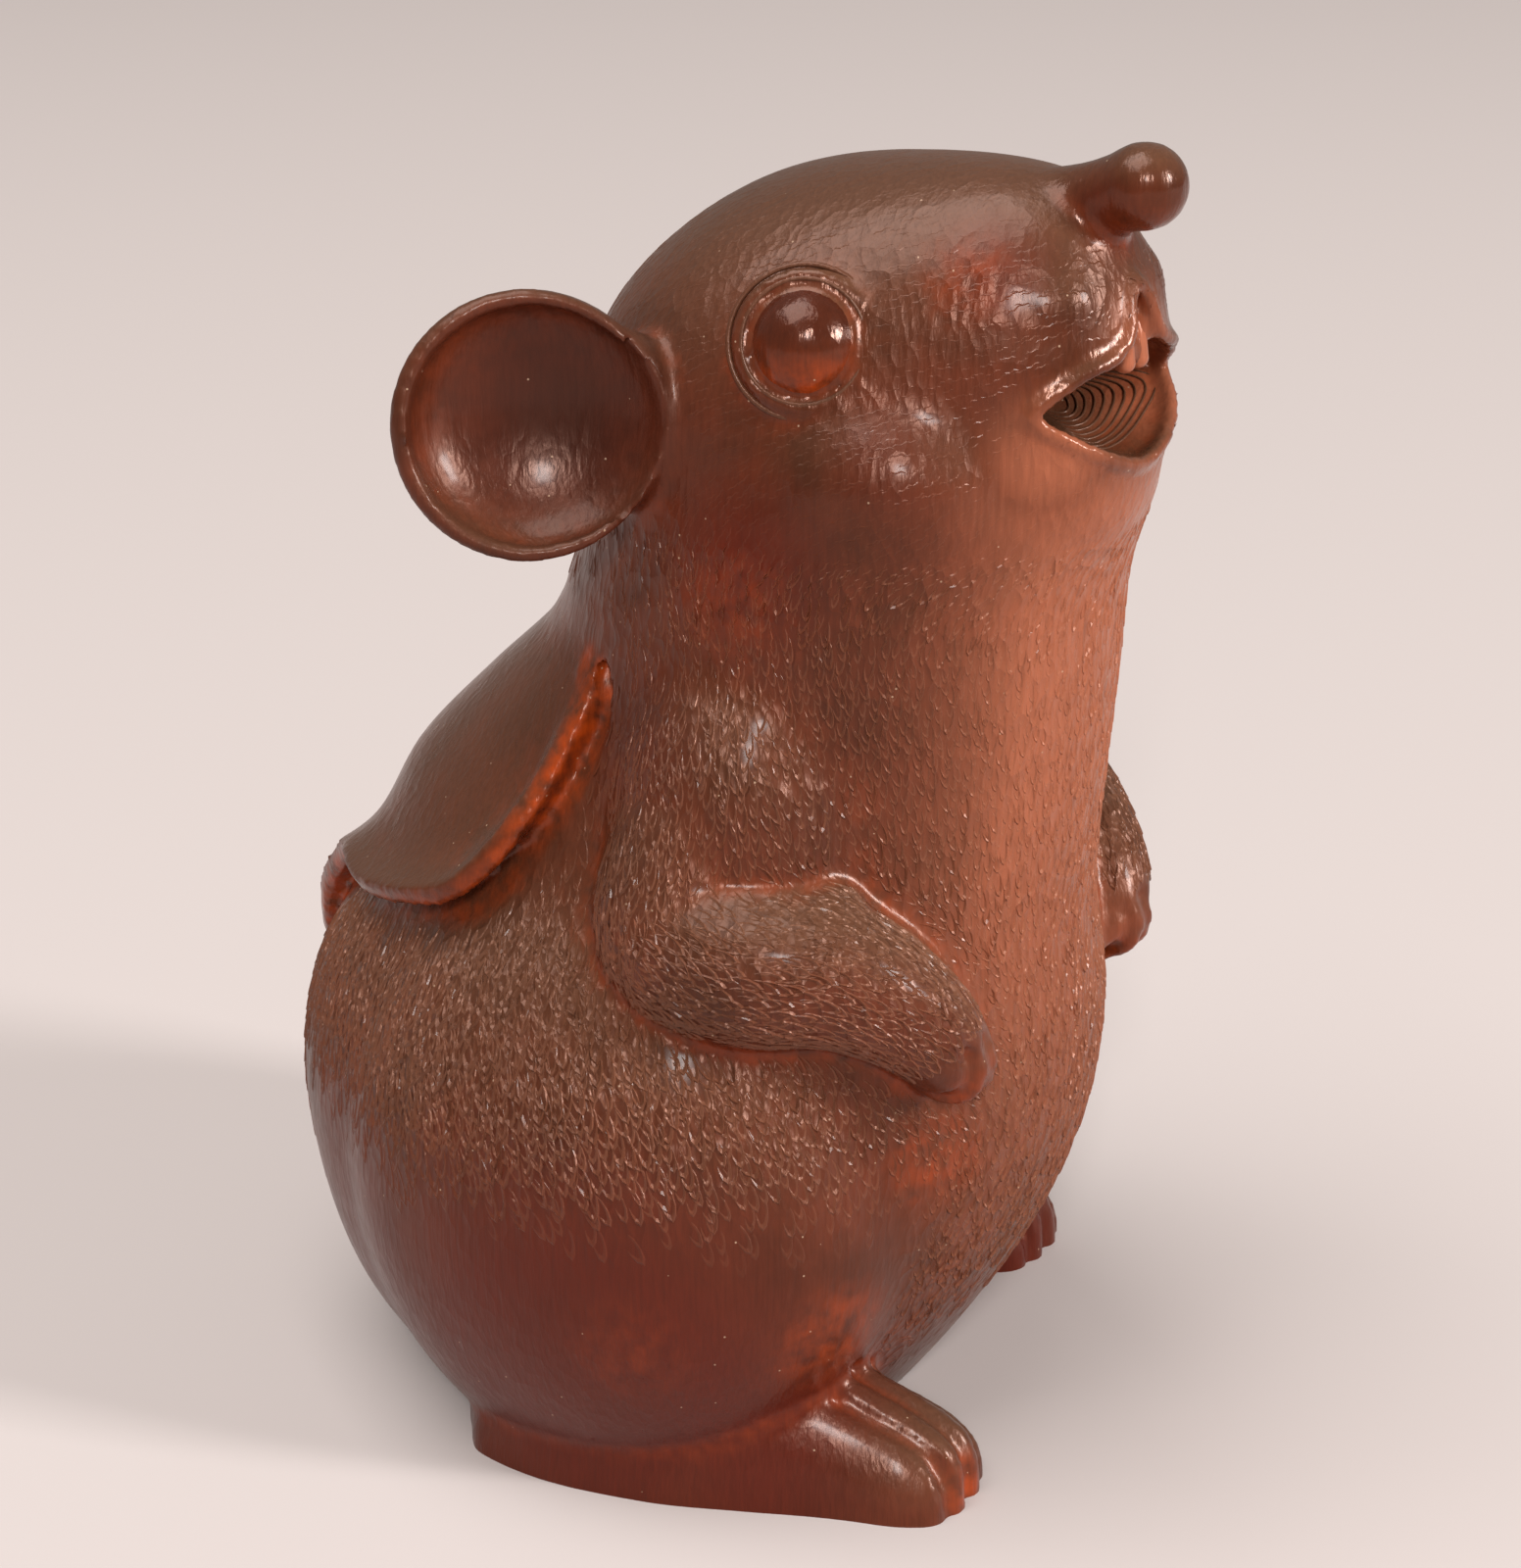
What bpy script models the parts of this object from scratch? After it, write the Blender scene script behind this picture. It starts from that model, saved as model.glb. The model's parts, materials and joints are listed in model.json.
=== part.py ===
"""Boxwood mouse figurine, carved from one block and resting on its own flat underside.

Frame: metres, +Z up, the mouse faces -Y and its left side is at +X. The origin is on the
underside, below the middle of the body. Pose, proportions and carving are written in hundredths
of the total height, so they follow HEIGHT.
"""
import math

import bmesh
import bpy
from mathutils import Matrix, Vector
from mathutils.bvhtree import BVHTree

# Driving size
HEIGHT = 0.105

# One hundredth of the height, the unit of every length and place below
UNIT = HEIGHT / 100.0

# How finely the clay is resolved, how softly each stage runs together, and the triangle goal
GRAIN = 0.5
MASS_BLEND = 2.5
LIMB_BLEND = 0.8
CUT_BLEND = 0.38
TRIANGLES = 9400

# Trunk: height, depth of the centre line, half width, half depth
TRUNK = [
    (-8.0, 8.0, 14.0, 13.0),
    (0.0, 8.0, 20.5, 19.5),
    (7.0, 9.0, 24.5, 25.5),
    (15.0, 8.4, 26.5, 29.5),
    (24.0, 7.4, 27.0, 31.8),
    (33.0, 5.8, 26.0, 31.2),
    (41.0, 3.2, 23.8, 27.6),
    (48.0, 1.6, 21.0, 26.6),
    (54.0, -1.3, 19.6, 24.3),
    (60.0, -4.4, 19.2, 21.7),
    (68.0, -6.2, 19.2, 20.4),
    (76.0, -8.3, 18.2, 20.7),
    (84.0, -8.5, 14.5, 17.0),
    (90.0, -8.0, 8.0, 10.0),
]

# The head is turned a little to the mouse's right, about an upright line at this depth
HEAD_TURN = 8.0
HEAD_PIVOT = -5.0

# Head, before its turn: depth from nape to muzzle, top, bottom, half width
HEAD = [
    (13.2, 81.0, 74.0, 4.0),
    (11.4, 85.6, 68.0, 9.5),
    (7.0, 90.2, 62.0, 14.8),
    (1.0, 94.2, 60.0, 17.8),
    (-5.0, 96.2, 60.0, 18.0),
    (-11.0, 97.1, 61.0, 16.4),
    (-17.0, 97.6, 64.0, 13.6),
    (-22.5, 97.3, 67.0, 11.0),
    (-26.0, 95.6, 69.0, 9.0),
    (-28.2, 92.4, 71.5, 7.2),
    (-29.6, 88.9, 74.5, 5.0),
    (-30.3, 85.0, 79.0, 2.5),
]

# Rounded masses of the right side: centre, radii
HAUNCH = ((-15.2, 5.0, 21.5), (16.3, 22.5, 25.0))
SHOULDER = ((-15.5, -4.5, 51.0), (8.2, 9.5, 13.0))
CHEEK = ((-9.5, -13.5, 76.5), (8.1, 10.8, 7.6))
LIP_LOBE = ((-3.2, -24.0, 88.4), (5.0, 4.8, 4.6))
EAR_ROOT = ((-18.0, 1.2, 80.0), (4.0, 4.0, 6.5))

# Right arm from shoulder to finger tips: place, radius
ARM = [
    (-18.0, -3.0, 50.0, 6.5),
    (-20.5, -3.0, 44.0, 6.6),
    (-21.0, -8.5, 43.0, 6.3),
    (-19.5, -13.5, 42.6, 5.6),
    (-17.4, -17.8, 40.2, 4.6),
    (-15.7, -20.3, 37.4, 3.9),
    (-14.8, -21.4, 35.4, 3.3),
]
ARM_CREST = ((-18.8, -13.2, 45.4), (3.2, 3.6, 3.6))
FINGER_PITCH = 2.4
FINGER_GROOVE = 0.9
# Degrees round the tip of the paw from its palm to its back; swell of the paw toward the wrist
FINGER_FROM = -50
FINGER_TO = 100
FINGER_STEP = 15
FINGER_SWELL = 0.4

# Right foot from heel to toes: depth, middle, half width, height
FOOT = [
    (16.0, -17.2, 4.0, 4.0),
    (13.0, -18.4, 7.0, 6.5),
    (6.0, -18.7, 8.2, 9.0),
    (-3.0, -18.0, 8.0, 10.5),
    (-10.0, -16.8, 7.0, 11.0),
    (-15.5, -15.9, 6.1, 8.8),
    (-20.0, -15.3, 5.7, 6.8),
    (-22.6, -15.1, 4.6, 5.2),
    (-23.6, -15.1, 2.6, 3.2),
]
LEFT_FOOT_SETBACK = 10.5
LEFT_FOOT_OUTSET = 9.0
TOE_PITCH = 2.9
TOE_GROOVE = 0.85
TOE_LINE = (-14.5, -17.0, -19.5, -21.5, -23.0, -23.6)

# Right ear: centre of its disc, the way its dish faces, radius, half thickness, rim
EAR_CENTRE = (-23.6, 5.0, 80.2)
EAR_FACING = (-0.785, -0.595, 0.16)
EAR_RADIUS = 9.4
EAR_HALF_DEPTH = 5.0
DISH_RADIUS = 9.0
DISH_RISE = 1.9
DISH_SHIFT = 0.6
EAR_RIM = 0.75
EAR_RIM_FROM = 42.0
EAR_RIM_TO = 312.0

# Nose, a short stalk with a round end, from root to tip: place, radius
NOSE = [
    (0.0, -20.5, 93.4, 3.6),
    (0.0, -25.0, 95.2, 2.8),
    (0.0, -27.6, 96.2, 2.8),
    (0.0, -29.4, 96.9, 3.1),
]

# Mouth, right half seen from the front: across, height; depths of the outline's plane, of the
# wider opening before it and of the narrower throat behind it; lip round it; right front tooth
MOUTH_EDGE = [
    (0.0, 89.8),
    (-1.0, 88.7),
    (-1.7, 86.7),
    (-3.2, 85.5),
    (-5.4, 84.9),
    (-7.2, 83.8),
    (-8.6, 82.2),
    (-6.6, 80.8),
    (-4.2, 79.6),
    (-1.6, 78.7),
    (0.0, 78.4),
]
MOUTH_FRONT = -34.0
MOUTH_PLANE = -26.0
MOUTH_BACK = -18.0
MOUTH_FLARE = 1.25
MOUTH_TAPER = 0.45
LIP = 0.55
TOOTH = [
    (-0.85, -26.8, 89.4, 0.75),
    (-0.9, -28.3, 87.0, 0.8),
    (-0.9, -28.8, 84.8, 0.75),
]

# Right eye: centre, the way it looks, radius, lid around it
EYE_CENTRE = (-13.1, -11.0, 86.1)
EYE_FACING = (-0.86, -0.40, 0.31)
EYE_RADIUS = 4.0
LID_RISE = 1.5
LID_THICKNESS = 0.6
LID_GAP = 0.5

# Flap on the back, from the middle to the top of its slit: angle round the trunk, height of edge
FLAP_EDGE = [
    (0.0, 26.0),
    (6.0, 28.5),
    (13.0, 34.5),
    (21.0, 38.8),
    (30.0, 40.4),
    (43.0, 40.6),
    (56.0, 42.0),
    (66.0, 43.8),
    (71.5, 47.0),
    (72.0, 50.5),
    (69.0, 54.5),
    (64.0, 58.0),
    (58.0, 61.0),
]
FLAP_ROOT_SPREAD = 0.8
FLAP_TOP = 65.0
FLAP_BROW = 40.0
FLAP_FLARE = 2.6
FLAP_SINK = 2.2
FLAP_DROOP = 0.16
FLAP_CURL = 10
SLIT_TAPER = 11.0
FLAP_THICKNESS = 1.8
SLIT = 1.1
SLIT_OUTSET = 0.7
UNDERCUT = 2.6
LOBE_ANGLE = 25.0

# Size of the block below the floor that levels the underside
GROUND = 100.0

STEPS_PER_SPAN = 4
RING_SIDES = 48
CAPE_ROWS = 25


def clear_scene():
    for piece in list(bpy.data.objects):
        bpy.data.objects.remove(piece, do_unlink=True)


def keep_in(name, piece):
    """Moves a finished piece into a collection of its own."""
    group = bpy.data.collections.new(name)
    bpy.context.scene.collection.children.link(group)
    for old in list(piece.users_collection):
        old.objects.unlink(piece)
    group.objects.link(piece)


def add_piece(name, mesh):
    piece = bpy.data.objects.new(name, mesh)
    bpy.context.scene.collection.objects.link(piece)
    return piece


def mesh_of(name, shape):
    """Turns a bmesh in hundredths of the height into a mesh in metres."""
    bmesh.ops.scale(shape, vec=(UNIT, UNIT, UNIT), verts=shape.verts)
    bmesh.ops.recalc_face_normals(shape, faces=shape.faces)
    mesh = bpy.data.meshes.new(name)
    shape.to_mesh(mesh)
    shape.free()
    return mesh


def curve_value(rows, column, place):
    """Catmull-Rom value of one column at a place counted in spans along the rows."""
    span = min(int(place), len(rows) - 2)
    t = place - span
    before, start, end, after = [rows[min(max(span + k, 0), len(rows) - 1)][column] for k in (-1, 0, 1, 2)]
    return 0.5 * (
        2.0 * start
        + (end - before) * t
        + (2.0 * before - 5.0 * start + 4.0 * end - after) * t * t
        + (3.0 * start - before - 3.0 * end + after) * t * t * t
    )


def smooth_rows(rows, steps=STEPS_PER_SPAN):
    """The rows with smoothly interpolated rows between them."""
    count = (len(rows) - 1) * steps
    columns = range(len(rows[0]))
    return [[curve_value(rows, column, k / steps) for column in columns] for k in range(count + 1)]


def row_at(rows, value):
    """The smooth row whose first column is the value, for rows sorted by that column."""
    last = len(rows) - 2
    span = next((k for k in range(last) if (rows[k + 1][0] - value) * (rows[-1][0] - rows[0][0]) > 0), last)
    t = (value - rows[span][0]) / (rows[span + 1][0] - rows[span][0])
    place = span + min(max(t, 0.0), 1.0)
    return [value] + [curve_value(rows, column, place) for column in range(1, len(rows[0]))]


def loft(name, rings):
    """Closed solid through rings of points, each ring with as many points as the next."""
    shape = bmesh.new()
    made = [[shape.verts.new(point) for point in ring] for ring in rings]
    for lower, upper in zip(made, made[1:]):
        for k in range(len(lower)):
            shape.faces.new((lower[k - 1], lower[k], upper[k], upper[k - 1]))
    shape.faces.new(made[0])
    shape.faces.new(made[-1])
    return add_piece(name, mesh_of(name, shape))


def turns(count):
    return [2.0 * math.pi * k / count for k in range(count)]


def ball(name, centre, radii, facing=(0.0, 0.0, 1.0)):
    """Ellipsoid whose third radius lies along the way it faces."""
    shape = bmesh.new()
    bmesh.ops.create_uvsphere(shape, u_segments=48, v_segments=24, radius=1.0)
    frame = Vector(facing).to_track_quat("Z", "Y").to_matrix().to_4x4()
    place = Matrix.Translation(Vector(centre)) @ frame @ Matrix.Diagonal((*radii, 1.0))
    bmesh.ops.transform(shape, matrix=place, verts=shape.verts)
    return add_piece(name, mesh_of(name, shape))


def limb(name, rows):
    """Round limb along a smooth line, with its own radius at each place and rounded ends."""
    rows = smooth_rows(rows)
    curve = bpy.data.curves.new(name, "CURVE")
    curve.dimensions = "3D"
    curve.bevel_depth = UNIT
    curve.bevel_resolution = 6
    curve.use_fill_caps = True
    line = curve.splines.new("POLY")
    line.points.add(len(rows) - 1)
    for point, row in zip(line.points, rows):
        point.co = (row[0] * UNIT, row[1] * UNIT, row[2] * UNIT, 1.0)
        point.radius = row[3]
    bent = add_piece(name, curve)
    solid = add_piece(name, evaluated_mesh(bent))
    bpy.data.objects.remove(bent, do_unlink=True)
    ends = [ball(name, row[:3], (row[3],) * 3) for row in (rows[0], rows[-1])]
    return [solid] + ends


def evaluated_mesh(piece):
    """The piece's mesh as its modifiers leave it, in world space."""
    graph = bpy.context.evaluated_depsgraph_get()
    mesh = bpy.data.meshes.new_from_object(piece.evaluated_get(graph), depsgraph=graph)
    mesh.transform(piece.matrix_world)
    return mesh


def both_sides(pieces):
    """Adds each piece's mirror image on the left side."""
    for piece in pieces:
        mirror = piece.modifiers.new("other side", "MIRROR")
        mirror.use_mirror_merge = False
    return pieces


def join(name, pieces):
    """One object of all the pieces' faces; the pieces themselves are removed."""
    joined = bmesh.new()
    for piece in pieces:
        joined.from_mesh(evaluated_mesh(piece))
    for piece in pieces:
        bpy.data.objects.remove(piece, do_unlink=True)
    mesh = bpy.data.meshes.new(name)
    joined.to_mesh(mesh)
    joined.free()
    return add_piece(name, mesh)


def drop_crumbs(piece):
    """Removes every loose bit of skin but the largest."""
    shape = bmesh.new()
    shape.from_mesh(piece.data)
    left = set(shape.verts)
    lumps = []
    while left:
        lump = [left.pop()]
        for vert in lump:
            near = {edge.other_vert(vert) for edge in vert.link_edges} & left
            left -= near
            lump += near
        lumps.append(lump)
    lumps.sort(key=len)
    for lump in lumps[:-1]:
        bmesh.ops.delete(shape, geom=lump, context="VERTS")
    shape.to_mesh(piece.data)
    shape.free()
    return piece


def fuse(name, pieces, blend):
    """Clay made of all the pieces as one skin, softened over the blend distance."""
    lump = join(name, pieces)
    skin = lump.modifiers.new("one skin", "REMESH")
    skin.mode = "VOXEL"
    skin.voxel_size = GRAIN * UNIT
    skin.use_smooth_shade = True
    if blend > 0.0:
        soft = lump.modifiers.new("soften", "SMOOTH")
        soft.factor = 0.5
        soft.iterations = max(1, round(4.0 * (blend / GRAIN) ** 2))
    return join(name, [lump])


def carve(piece, cutter):
    cut = piece.modifiers.new(cutter.name, "BOOLEAN")
    cut.object = cutter
    cut.operation = "DIFFERENCE"
    cut.solver = "EXACT"


def trunk():
    rings = []
    for height, depth, half_width, half_depth in smooth_rows(TRUNK):
        rings.append([(half_width * math.cos(t), depth + half_depth * math.sin(t), height) for t in turns(RING_SIDES)])
    return loft("trunk", rings)


def head():
    rings = []
    for depth, top, bottom, half_width in smooth_rows(HEAD):
        middle = (top + bottom) / 2.0
        rise = (top - bottom) / 2.0
        rings.append([(half_width * math.cos(t), depth, middle + rise * math.sin(t)) for t in turns(RING_SIDES)])
    return loft("head", rings)


def head_turn():
    """The head's turn about the upright line through its pivot."""
    pivot = Vector((0.0, HEAD_PIVOT * UNIT, 0.0))
    turn = Matrix.Translation(pivot) @ Matrix.Rotation(math.radians(-HEAD_TURN), 4, "Z")
    return turn @ Matrix.Translation(-pivot)


def turned_head(pieces):
    turned = join("turned head", pieces)
    turned.data.transform(head_turn())
    return [turned]


def masses():
    pieces = [trunk()] + both_sides([ball("haunch", *HAUNCH), ball("shoulder", *SHOULDER)])
    pieces += turned_head([head()] + both_sides([ball("cheek", *CHEEK)]))
    return fuse("masses", pieces, MASS_BLEND)


def foot_row(side, setback, outset, depth):
    """Middle, half width and height of a foot; the outset grows from heel to toes."""
    _, middle, half_width, height = row_at(FOOT, depth)
    toward_toes = (FOOT[0][0] - depth) / (FOOT[0][0] - FOOT[-1][0])
    return side * middle + outset * toward_toes, depth + setback, half_width, height


def foot(side, setback, outset):
    """Flat-soled foot; its lower half lies below the ground and is cut away."""
    rings = []
    for row in smooth_rows(FOOT):
        middle, depth, half_width, height = foot_row(side, setback, outset, row[0])
        rings.append([(middle + half_width * math.cos(t), depth, height * math.sin(t)) for t in turns(24)])
    return loft("foot", rings)


def limbs():
    pieces = both_sides(limb("arm", ARM) + [ball("arm crest", *ARM_CREST)])
    pieces += [foot(1.0, 0.0, 0.0), foot(-1.0, LEFT_FOOT_SETBACK, LEFT_FOOT_OUTSET)]
    disc = (EAR_RADIUS, EAR_RADIUS, EAR_HALF_DEPTH)
    face = [ball("ear", EAR_CENTRE, disc, EAR_FACING), ball("ear root", *EAR_ROOT)]
    face.append(ball("lip lobe", *LIP_LOBE))
    return pieces + turned_head(both_sides(face) + limb("nose", NOSE))


def on_trunk(angle, height, offset):
    """Point at an angle round the trunk from the middle of the back, moved out by the offset."""
    half_width, half_depth = row_at(TRUNK, height)[2:]
    across = (half_width + offset) * math.sin(math.radians(angle))
    along = (half_depth + offset) * math.cos(math.radians(angle))
    return (-across, row_at(TRUNK, height)[1] + along, height)


def flap_offset(share, height):
    """How far the flap stands off the trunk: it flares at its free edge, less up along the slit."""
    taper = min(max((FLAP_EDGE[-1][1] - height) / SLIT_TAPER, 0.0), 1.0)
    droop = FLAP_DROOP * max(FLAP_BROW - height, 0.0)
    return FLAP_FLARE * taper * share ** FLAP_CURL - droop - FLAP_SINK * (1.0 - share)


def flap_edge(first=0.0):
    """Angle and height along the free edge, up its right side from the first angle."""
    return [row for row in smooth_rows(FLAP_EDGE) if row[0] >= first]


def slit():
    """Groove beside the flap's free edge, from the lobe on the rump to the top of the right slit."""
    edge = flap_edge(LOBE_ANGLE)
    rows = []
    for before, (angle, height), after in zip(edge, edge[1:], edge[2:]):
        girth = row_at(TRUNK, height)[3]
        across = math.radians(after[0] - before[0]) * girth
        rise = after[1] - before[1]
        outset = SLIT_OUTSET / math.hypot(across, rise)
        angle += math.degrees(rise * outset / girth)
        rows.append((*on_trunk(angle, height - across * outset, flap_offset(1.0, height) - SLIT), SLIT))
    return limb("slit", rows[::2])


def cape(name, edge, start, thickness, lift):
    """Sheet hugging the back, from a share of the flap's length down to the given edge."""
    shape = bmesh.new()
    columns = []
    for angle, height in edge:
        column = []
        for row in range(CAPE_ROWS):
            share = start + (1.0 - start) * row / (CAPE_ROWS - 1)
            at_angle = angle * (FLAP_ROOT_SPREAD + (1.0 - FLAP_ROOT_SPREAD) * share)
            at_height = FLAP_TOP + (height - FLAP_TOP) * share
            place = on_trunk(at_angle, at_height, flap_offset(share, at_height) + lift)
            column.append(shape.verts.new(place))
        columns.append(column)
    for left, right in zip(columns, columns[1:]):
        for k in range(CAPE_ROWS - 1):
            shape.faces.new((left[k], left[k + 1], right[k + 1], right[k]))
    sheet = add_piece(name, mesh_of(name, shape))
    wall = sheet.modifiers.new("wall", "SOLIDIFY")
    wall.thickness = thickness * UNIT
    wall.offset = -1.0
    return sheet


def ring(name, centre, facing, radius, thickness):
    """Round ring of the given half thickness, square to the way it faces."""
    turn = Vector(facing).to_track_quat("Z", "Y")
    bpy.ops.mesh.primitive_torus_add(
        major_radius=radius * UNIT,
        minor_radius=thickness * UNIT,
        major_segments=48,
        minor_segments=12,
        location=Vector(centre) * UNIT,
        rotation=turn.to_euler(),
    )
    torus = bpy.context.object
    placed = add_piece(name, evaluated_mesh(torus))
    bpy.data.objects.remove(torus, do_unlink=True)
    return placed


def mouth_ring(depth, size):
    """The mouth's outline at a depth, grown or shrunk about its own middle."""
    right = smooth_rows(MOUTH_EDGE, 3)
    outline = right[:-1] + [(-across, height) for across, height in reversed(right)][:-1]
    middle = sum(height for _, height in outline) / len(outline)
    return [(size * across, depth, middle + size * (height - middle)) for across, height in outline]


def mouth():
    """The opening, as an outline drawn back into the head and growing smaller there."""
    rings = [(MOUTH_FRONT, MOUTH_FLARE), (MOUTH_PLANE, 1.0), (MOUTH_BACK, MOUTH_TAPER)]
    return loft("mouth", [mouth_ring(*ring) for ring in rings])


def lips(clay):
    """Rounded edge of the mouth, where its outline runs into the turned head."""
    skin = BVHTree.FromObject(clay, bpy.context.evaluated_depsgraph_get())
    turn = head_turn()
    rows = []
    for outer, inner in zip(mouth_ring(MOUTH_FRONT, MOUTH_FLARE), mouth_ring(MOUTH_PLANE, 1.0)):
        start = turn @ (Vector(outer) * UNIT)
        place = skin.ray_cast(start, turn @ (Vector(inner) * UNIT) - start)[0] / UNIT
        rows.append((*place, LIP))
    return limb("lips", rows + rows[:1])


def toe_cuts(side, setback, outset):
    """Grooves along the top and front of the foot, between its four toes."""
    cutters = []
    for k in (-1, 0, 1):
        rows = []
        for depth in TOE_LINE:
            middle, along, half_width, height = foot_row(side, setback, outset, depth)
            share = min(abs(k) * TOE_PITCH / half_width, 0.95)
            height *= math.sqrt(1.0 - share * share)
            rows.append((middle + k * TOE_PITCH, along, height + 0.1, TOE_GROOVE))
        rows.append((rows[-1][0], rows[-1][1] - 0.2, -2.0, TOE_GROOVE))
        cutters += limb("toe groove", rows)
    return cutters


def finger_cuts():
    """Grooves that run over the tip of the paw from its back to its palm, between the fingers."""
    tip, radius = Vector(ARM[-1][:3]), ARM[-1][3]
    along = tip - Vector(ARM[-2][:3])
    along = Vector((0.0, along.y, along.z)).normalized()
    back = along.cross(Vector((1.0, 0.0, 0.0)))
    cutters = []
    for k in (-1, 0, 1):
        rows = []
        for degrees in range(FINGER_FROM, FINGER_TO + 1, FINGER_STEP):
            turn = math.radians(degrees)
            reach = math.sqrt((radius + FINGER_SWELL * max(math.sin(turn), 0.0)) ** 2 - (k * FINGER_PITCH) ** 2)
            place = tip + reach * (along * math.cos(turn) + back * math.sin(turn))
            rows.append((place.x + k * FINGER_PITCH, place.y, place.z, FINGER_GROOVE))
        cutters += limb("finger groove", rows)
    return cutters


def ear_axes():
    """Ways square to the ear's facing: level toward the face, and up."""
    facing = Vector(EAR_FACING).normalized()
    level = Vector((0.0, 0.0, 1.0)).cross(facing).normalized()
    return facing, level, facing.cross(level)


def ear_rim():
    """Rolled edge of the ear, thinning out at both ends where the dish runs into the face."""
    facing, level, up = ear_axes()
    middle = Vector(EAR_CENTRE) + facing * DISH_RISE * 0.5
    rows = []
    for k in range(RING_SIDES + 1):
        turn = math.radians(EAR_RIM_FROM + (EAR_RIM_TO - EAR_RIM_FROM) * k / RING_SIDES)
        reach = (EAR_RADIUS - EAR_RIM * 0.8) * (level * math.cos(turn) + up * math.sin(turn))
        rows.append((*(middle + reach), EAR_RIM * (0.4 + 0.6 * math.sin(math.pi * k / RING_SIDES) ** 0.5)))
    return limb("ear rim", rows[::2])


def cuts():
    facing, level, _ = ear_axes()
    dish = (DISH_RADIUS, DISH_RADIUS, EAR_HALF_DEPTH)
    dish_centre = Vector(EAR_CENTRE) + facing * DISH_RISE + level * DISH_SHIFT
    socket = ring("socket", lid_centre(), EYE_FACING, EYE_RADIUS, LID_GAP)
    pieces = both_sides([ball("ear dish", dish_centre, dish, facing), socket])
    pieces = turned_head(pieces + [mouth()])
    pieces += both_sides(finger_cuts())
    pieces += toe_cuts(1.0, 0.0, 0.0) + toe_cuts(-1.0, LEFT_FOOT_SETBACK, LEFT_FOOT_OUTSET)
    pieces += both_sides([cape("undercut", flap_edge(LOBE_ANGLE), 0.8, UNDERCUT, -FLAP_THICKNESS / 2.0)] + slit())
    return fuse("cuts", pieces, 0.0)


def lid_centre():
    return Vector(EYE_CENTRE) + Vector(EYE_FACING).normalized() * LID_RISE


def wood():
    material = bpy.data.materials.new("stained boxwood")
    material.use_nodes = True
    shader = material.node_tree.nodes["Principled BSDF"]
    shader.inputs["Base Color"].default_value = (0.105, 0.035, 0.018, 1.0)
    shader.inputs["Roughness"].default_value = 0.38
    shader.inputs["Metallic"].default_value = 0.0
    return material


def face():
    """What is set into the head after the cutting: eyes, lids, teeth and the rims of the ears."""
    lid = ring("lid", lid_centre(), EYE_FACING, EYE_RADIUS + LID_GAP, LID_THICKNESS)
    pieces = [ball("eye", EYE_CENTRE, (EYE_RADIUS,) * 3), lid]
    return turned_head(both_sides(pieces + limb("tooth", TOOTH) + ear_rim()))


def flap():
    right = flap_edge()
    left = [(-angle, height) for angle, height in reversed(right[1:])]
    return cape("flap", left + right, 0.0, FLAP_THICKNESS, 0.0)


def ground():
    """Block below the floor, its top level with the underside of the figure."""
    shape = bmesh.new()
    bmesh.ops.create_cube(shape, size=GROUND)
    bmesh.ops.translate(shape, vec=(0.0, 0.0, -GROUND / 2.0), verts=shape.verts)
    block = add_piece("ground", mesh_of("ground", shape))
    block.display_type = "WIRE"
    block.hide_render = True
    keep_in("cutters", block)
    return block


def main():
    clear_scene()
    clay = fuse("limbs", [masses()] + limbs(), LIMB_BLEND)
    edge = lips(clay)
    cutter = cuts()
    carve(clay, cutter)
    mouse = drop_crumbs(fuse("mouse", [clay, flap()] + edge + face(), CUT_BLEND))
    bpy.data.objects.remove(cutter, do_unlink=True)
    mouse.data.materials.append(wood())
    thin = mouse.modifiers.new("facets", "DECIMATE")
    thin.ratio = min(1.0, TRIANGLES / sum(len(side.vertices) - 2 for side in mouse.data.polygons))
    carve(mouse, ground())
    keep_in("mouse figurine", mouse)


if __name__ == "__main__":
    main()
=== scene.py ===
"""Boxwood mouse figurine: the carved wood with its fur cuts, stain and polish, on a pale floor.

The mouse faces -Y with its left side at +X and its underside on z = 0. Places and lengths of the
carving are in hundredths of its height, as in the solid it stands for.
"""

import json
import math

import bmesh
import bpy
import numpy as np
from mathutils import Matrix, Vector
from mathutils.bvhtree import BVHTree

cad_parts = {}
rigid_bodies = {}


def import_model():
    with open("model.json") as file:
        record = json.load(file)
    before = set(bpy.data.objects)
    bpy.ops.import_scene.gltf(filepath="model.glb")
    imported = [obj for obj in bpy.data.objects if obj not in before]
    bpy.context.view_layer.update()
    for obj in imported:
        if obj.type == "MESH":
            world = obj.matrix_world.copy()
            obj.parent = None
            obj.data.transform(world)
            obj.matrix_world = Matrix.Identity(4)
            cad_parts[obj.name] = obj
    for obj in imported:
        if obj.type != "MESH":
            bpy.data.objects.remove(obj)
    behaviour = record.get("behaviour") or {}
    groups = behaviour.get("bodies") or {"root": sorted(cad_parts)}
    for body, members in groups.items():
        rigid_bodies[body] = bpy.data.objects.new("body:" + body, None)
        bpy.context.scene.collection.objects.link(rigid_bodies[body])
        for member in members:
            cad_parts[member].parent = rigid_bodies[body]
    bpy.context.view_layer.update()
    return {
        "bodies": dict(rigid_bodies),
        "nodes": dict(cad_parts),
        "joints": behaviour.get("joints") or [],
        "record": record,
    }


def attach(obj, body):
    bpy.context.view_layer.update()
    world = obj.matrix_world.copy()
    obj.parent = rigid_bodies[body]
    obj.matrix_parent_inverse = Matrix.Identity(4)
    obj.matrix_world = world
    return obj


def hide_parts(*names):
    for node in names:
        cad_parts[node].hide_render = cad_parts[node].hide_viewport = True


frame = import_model()

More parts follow.
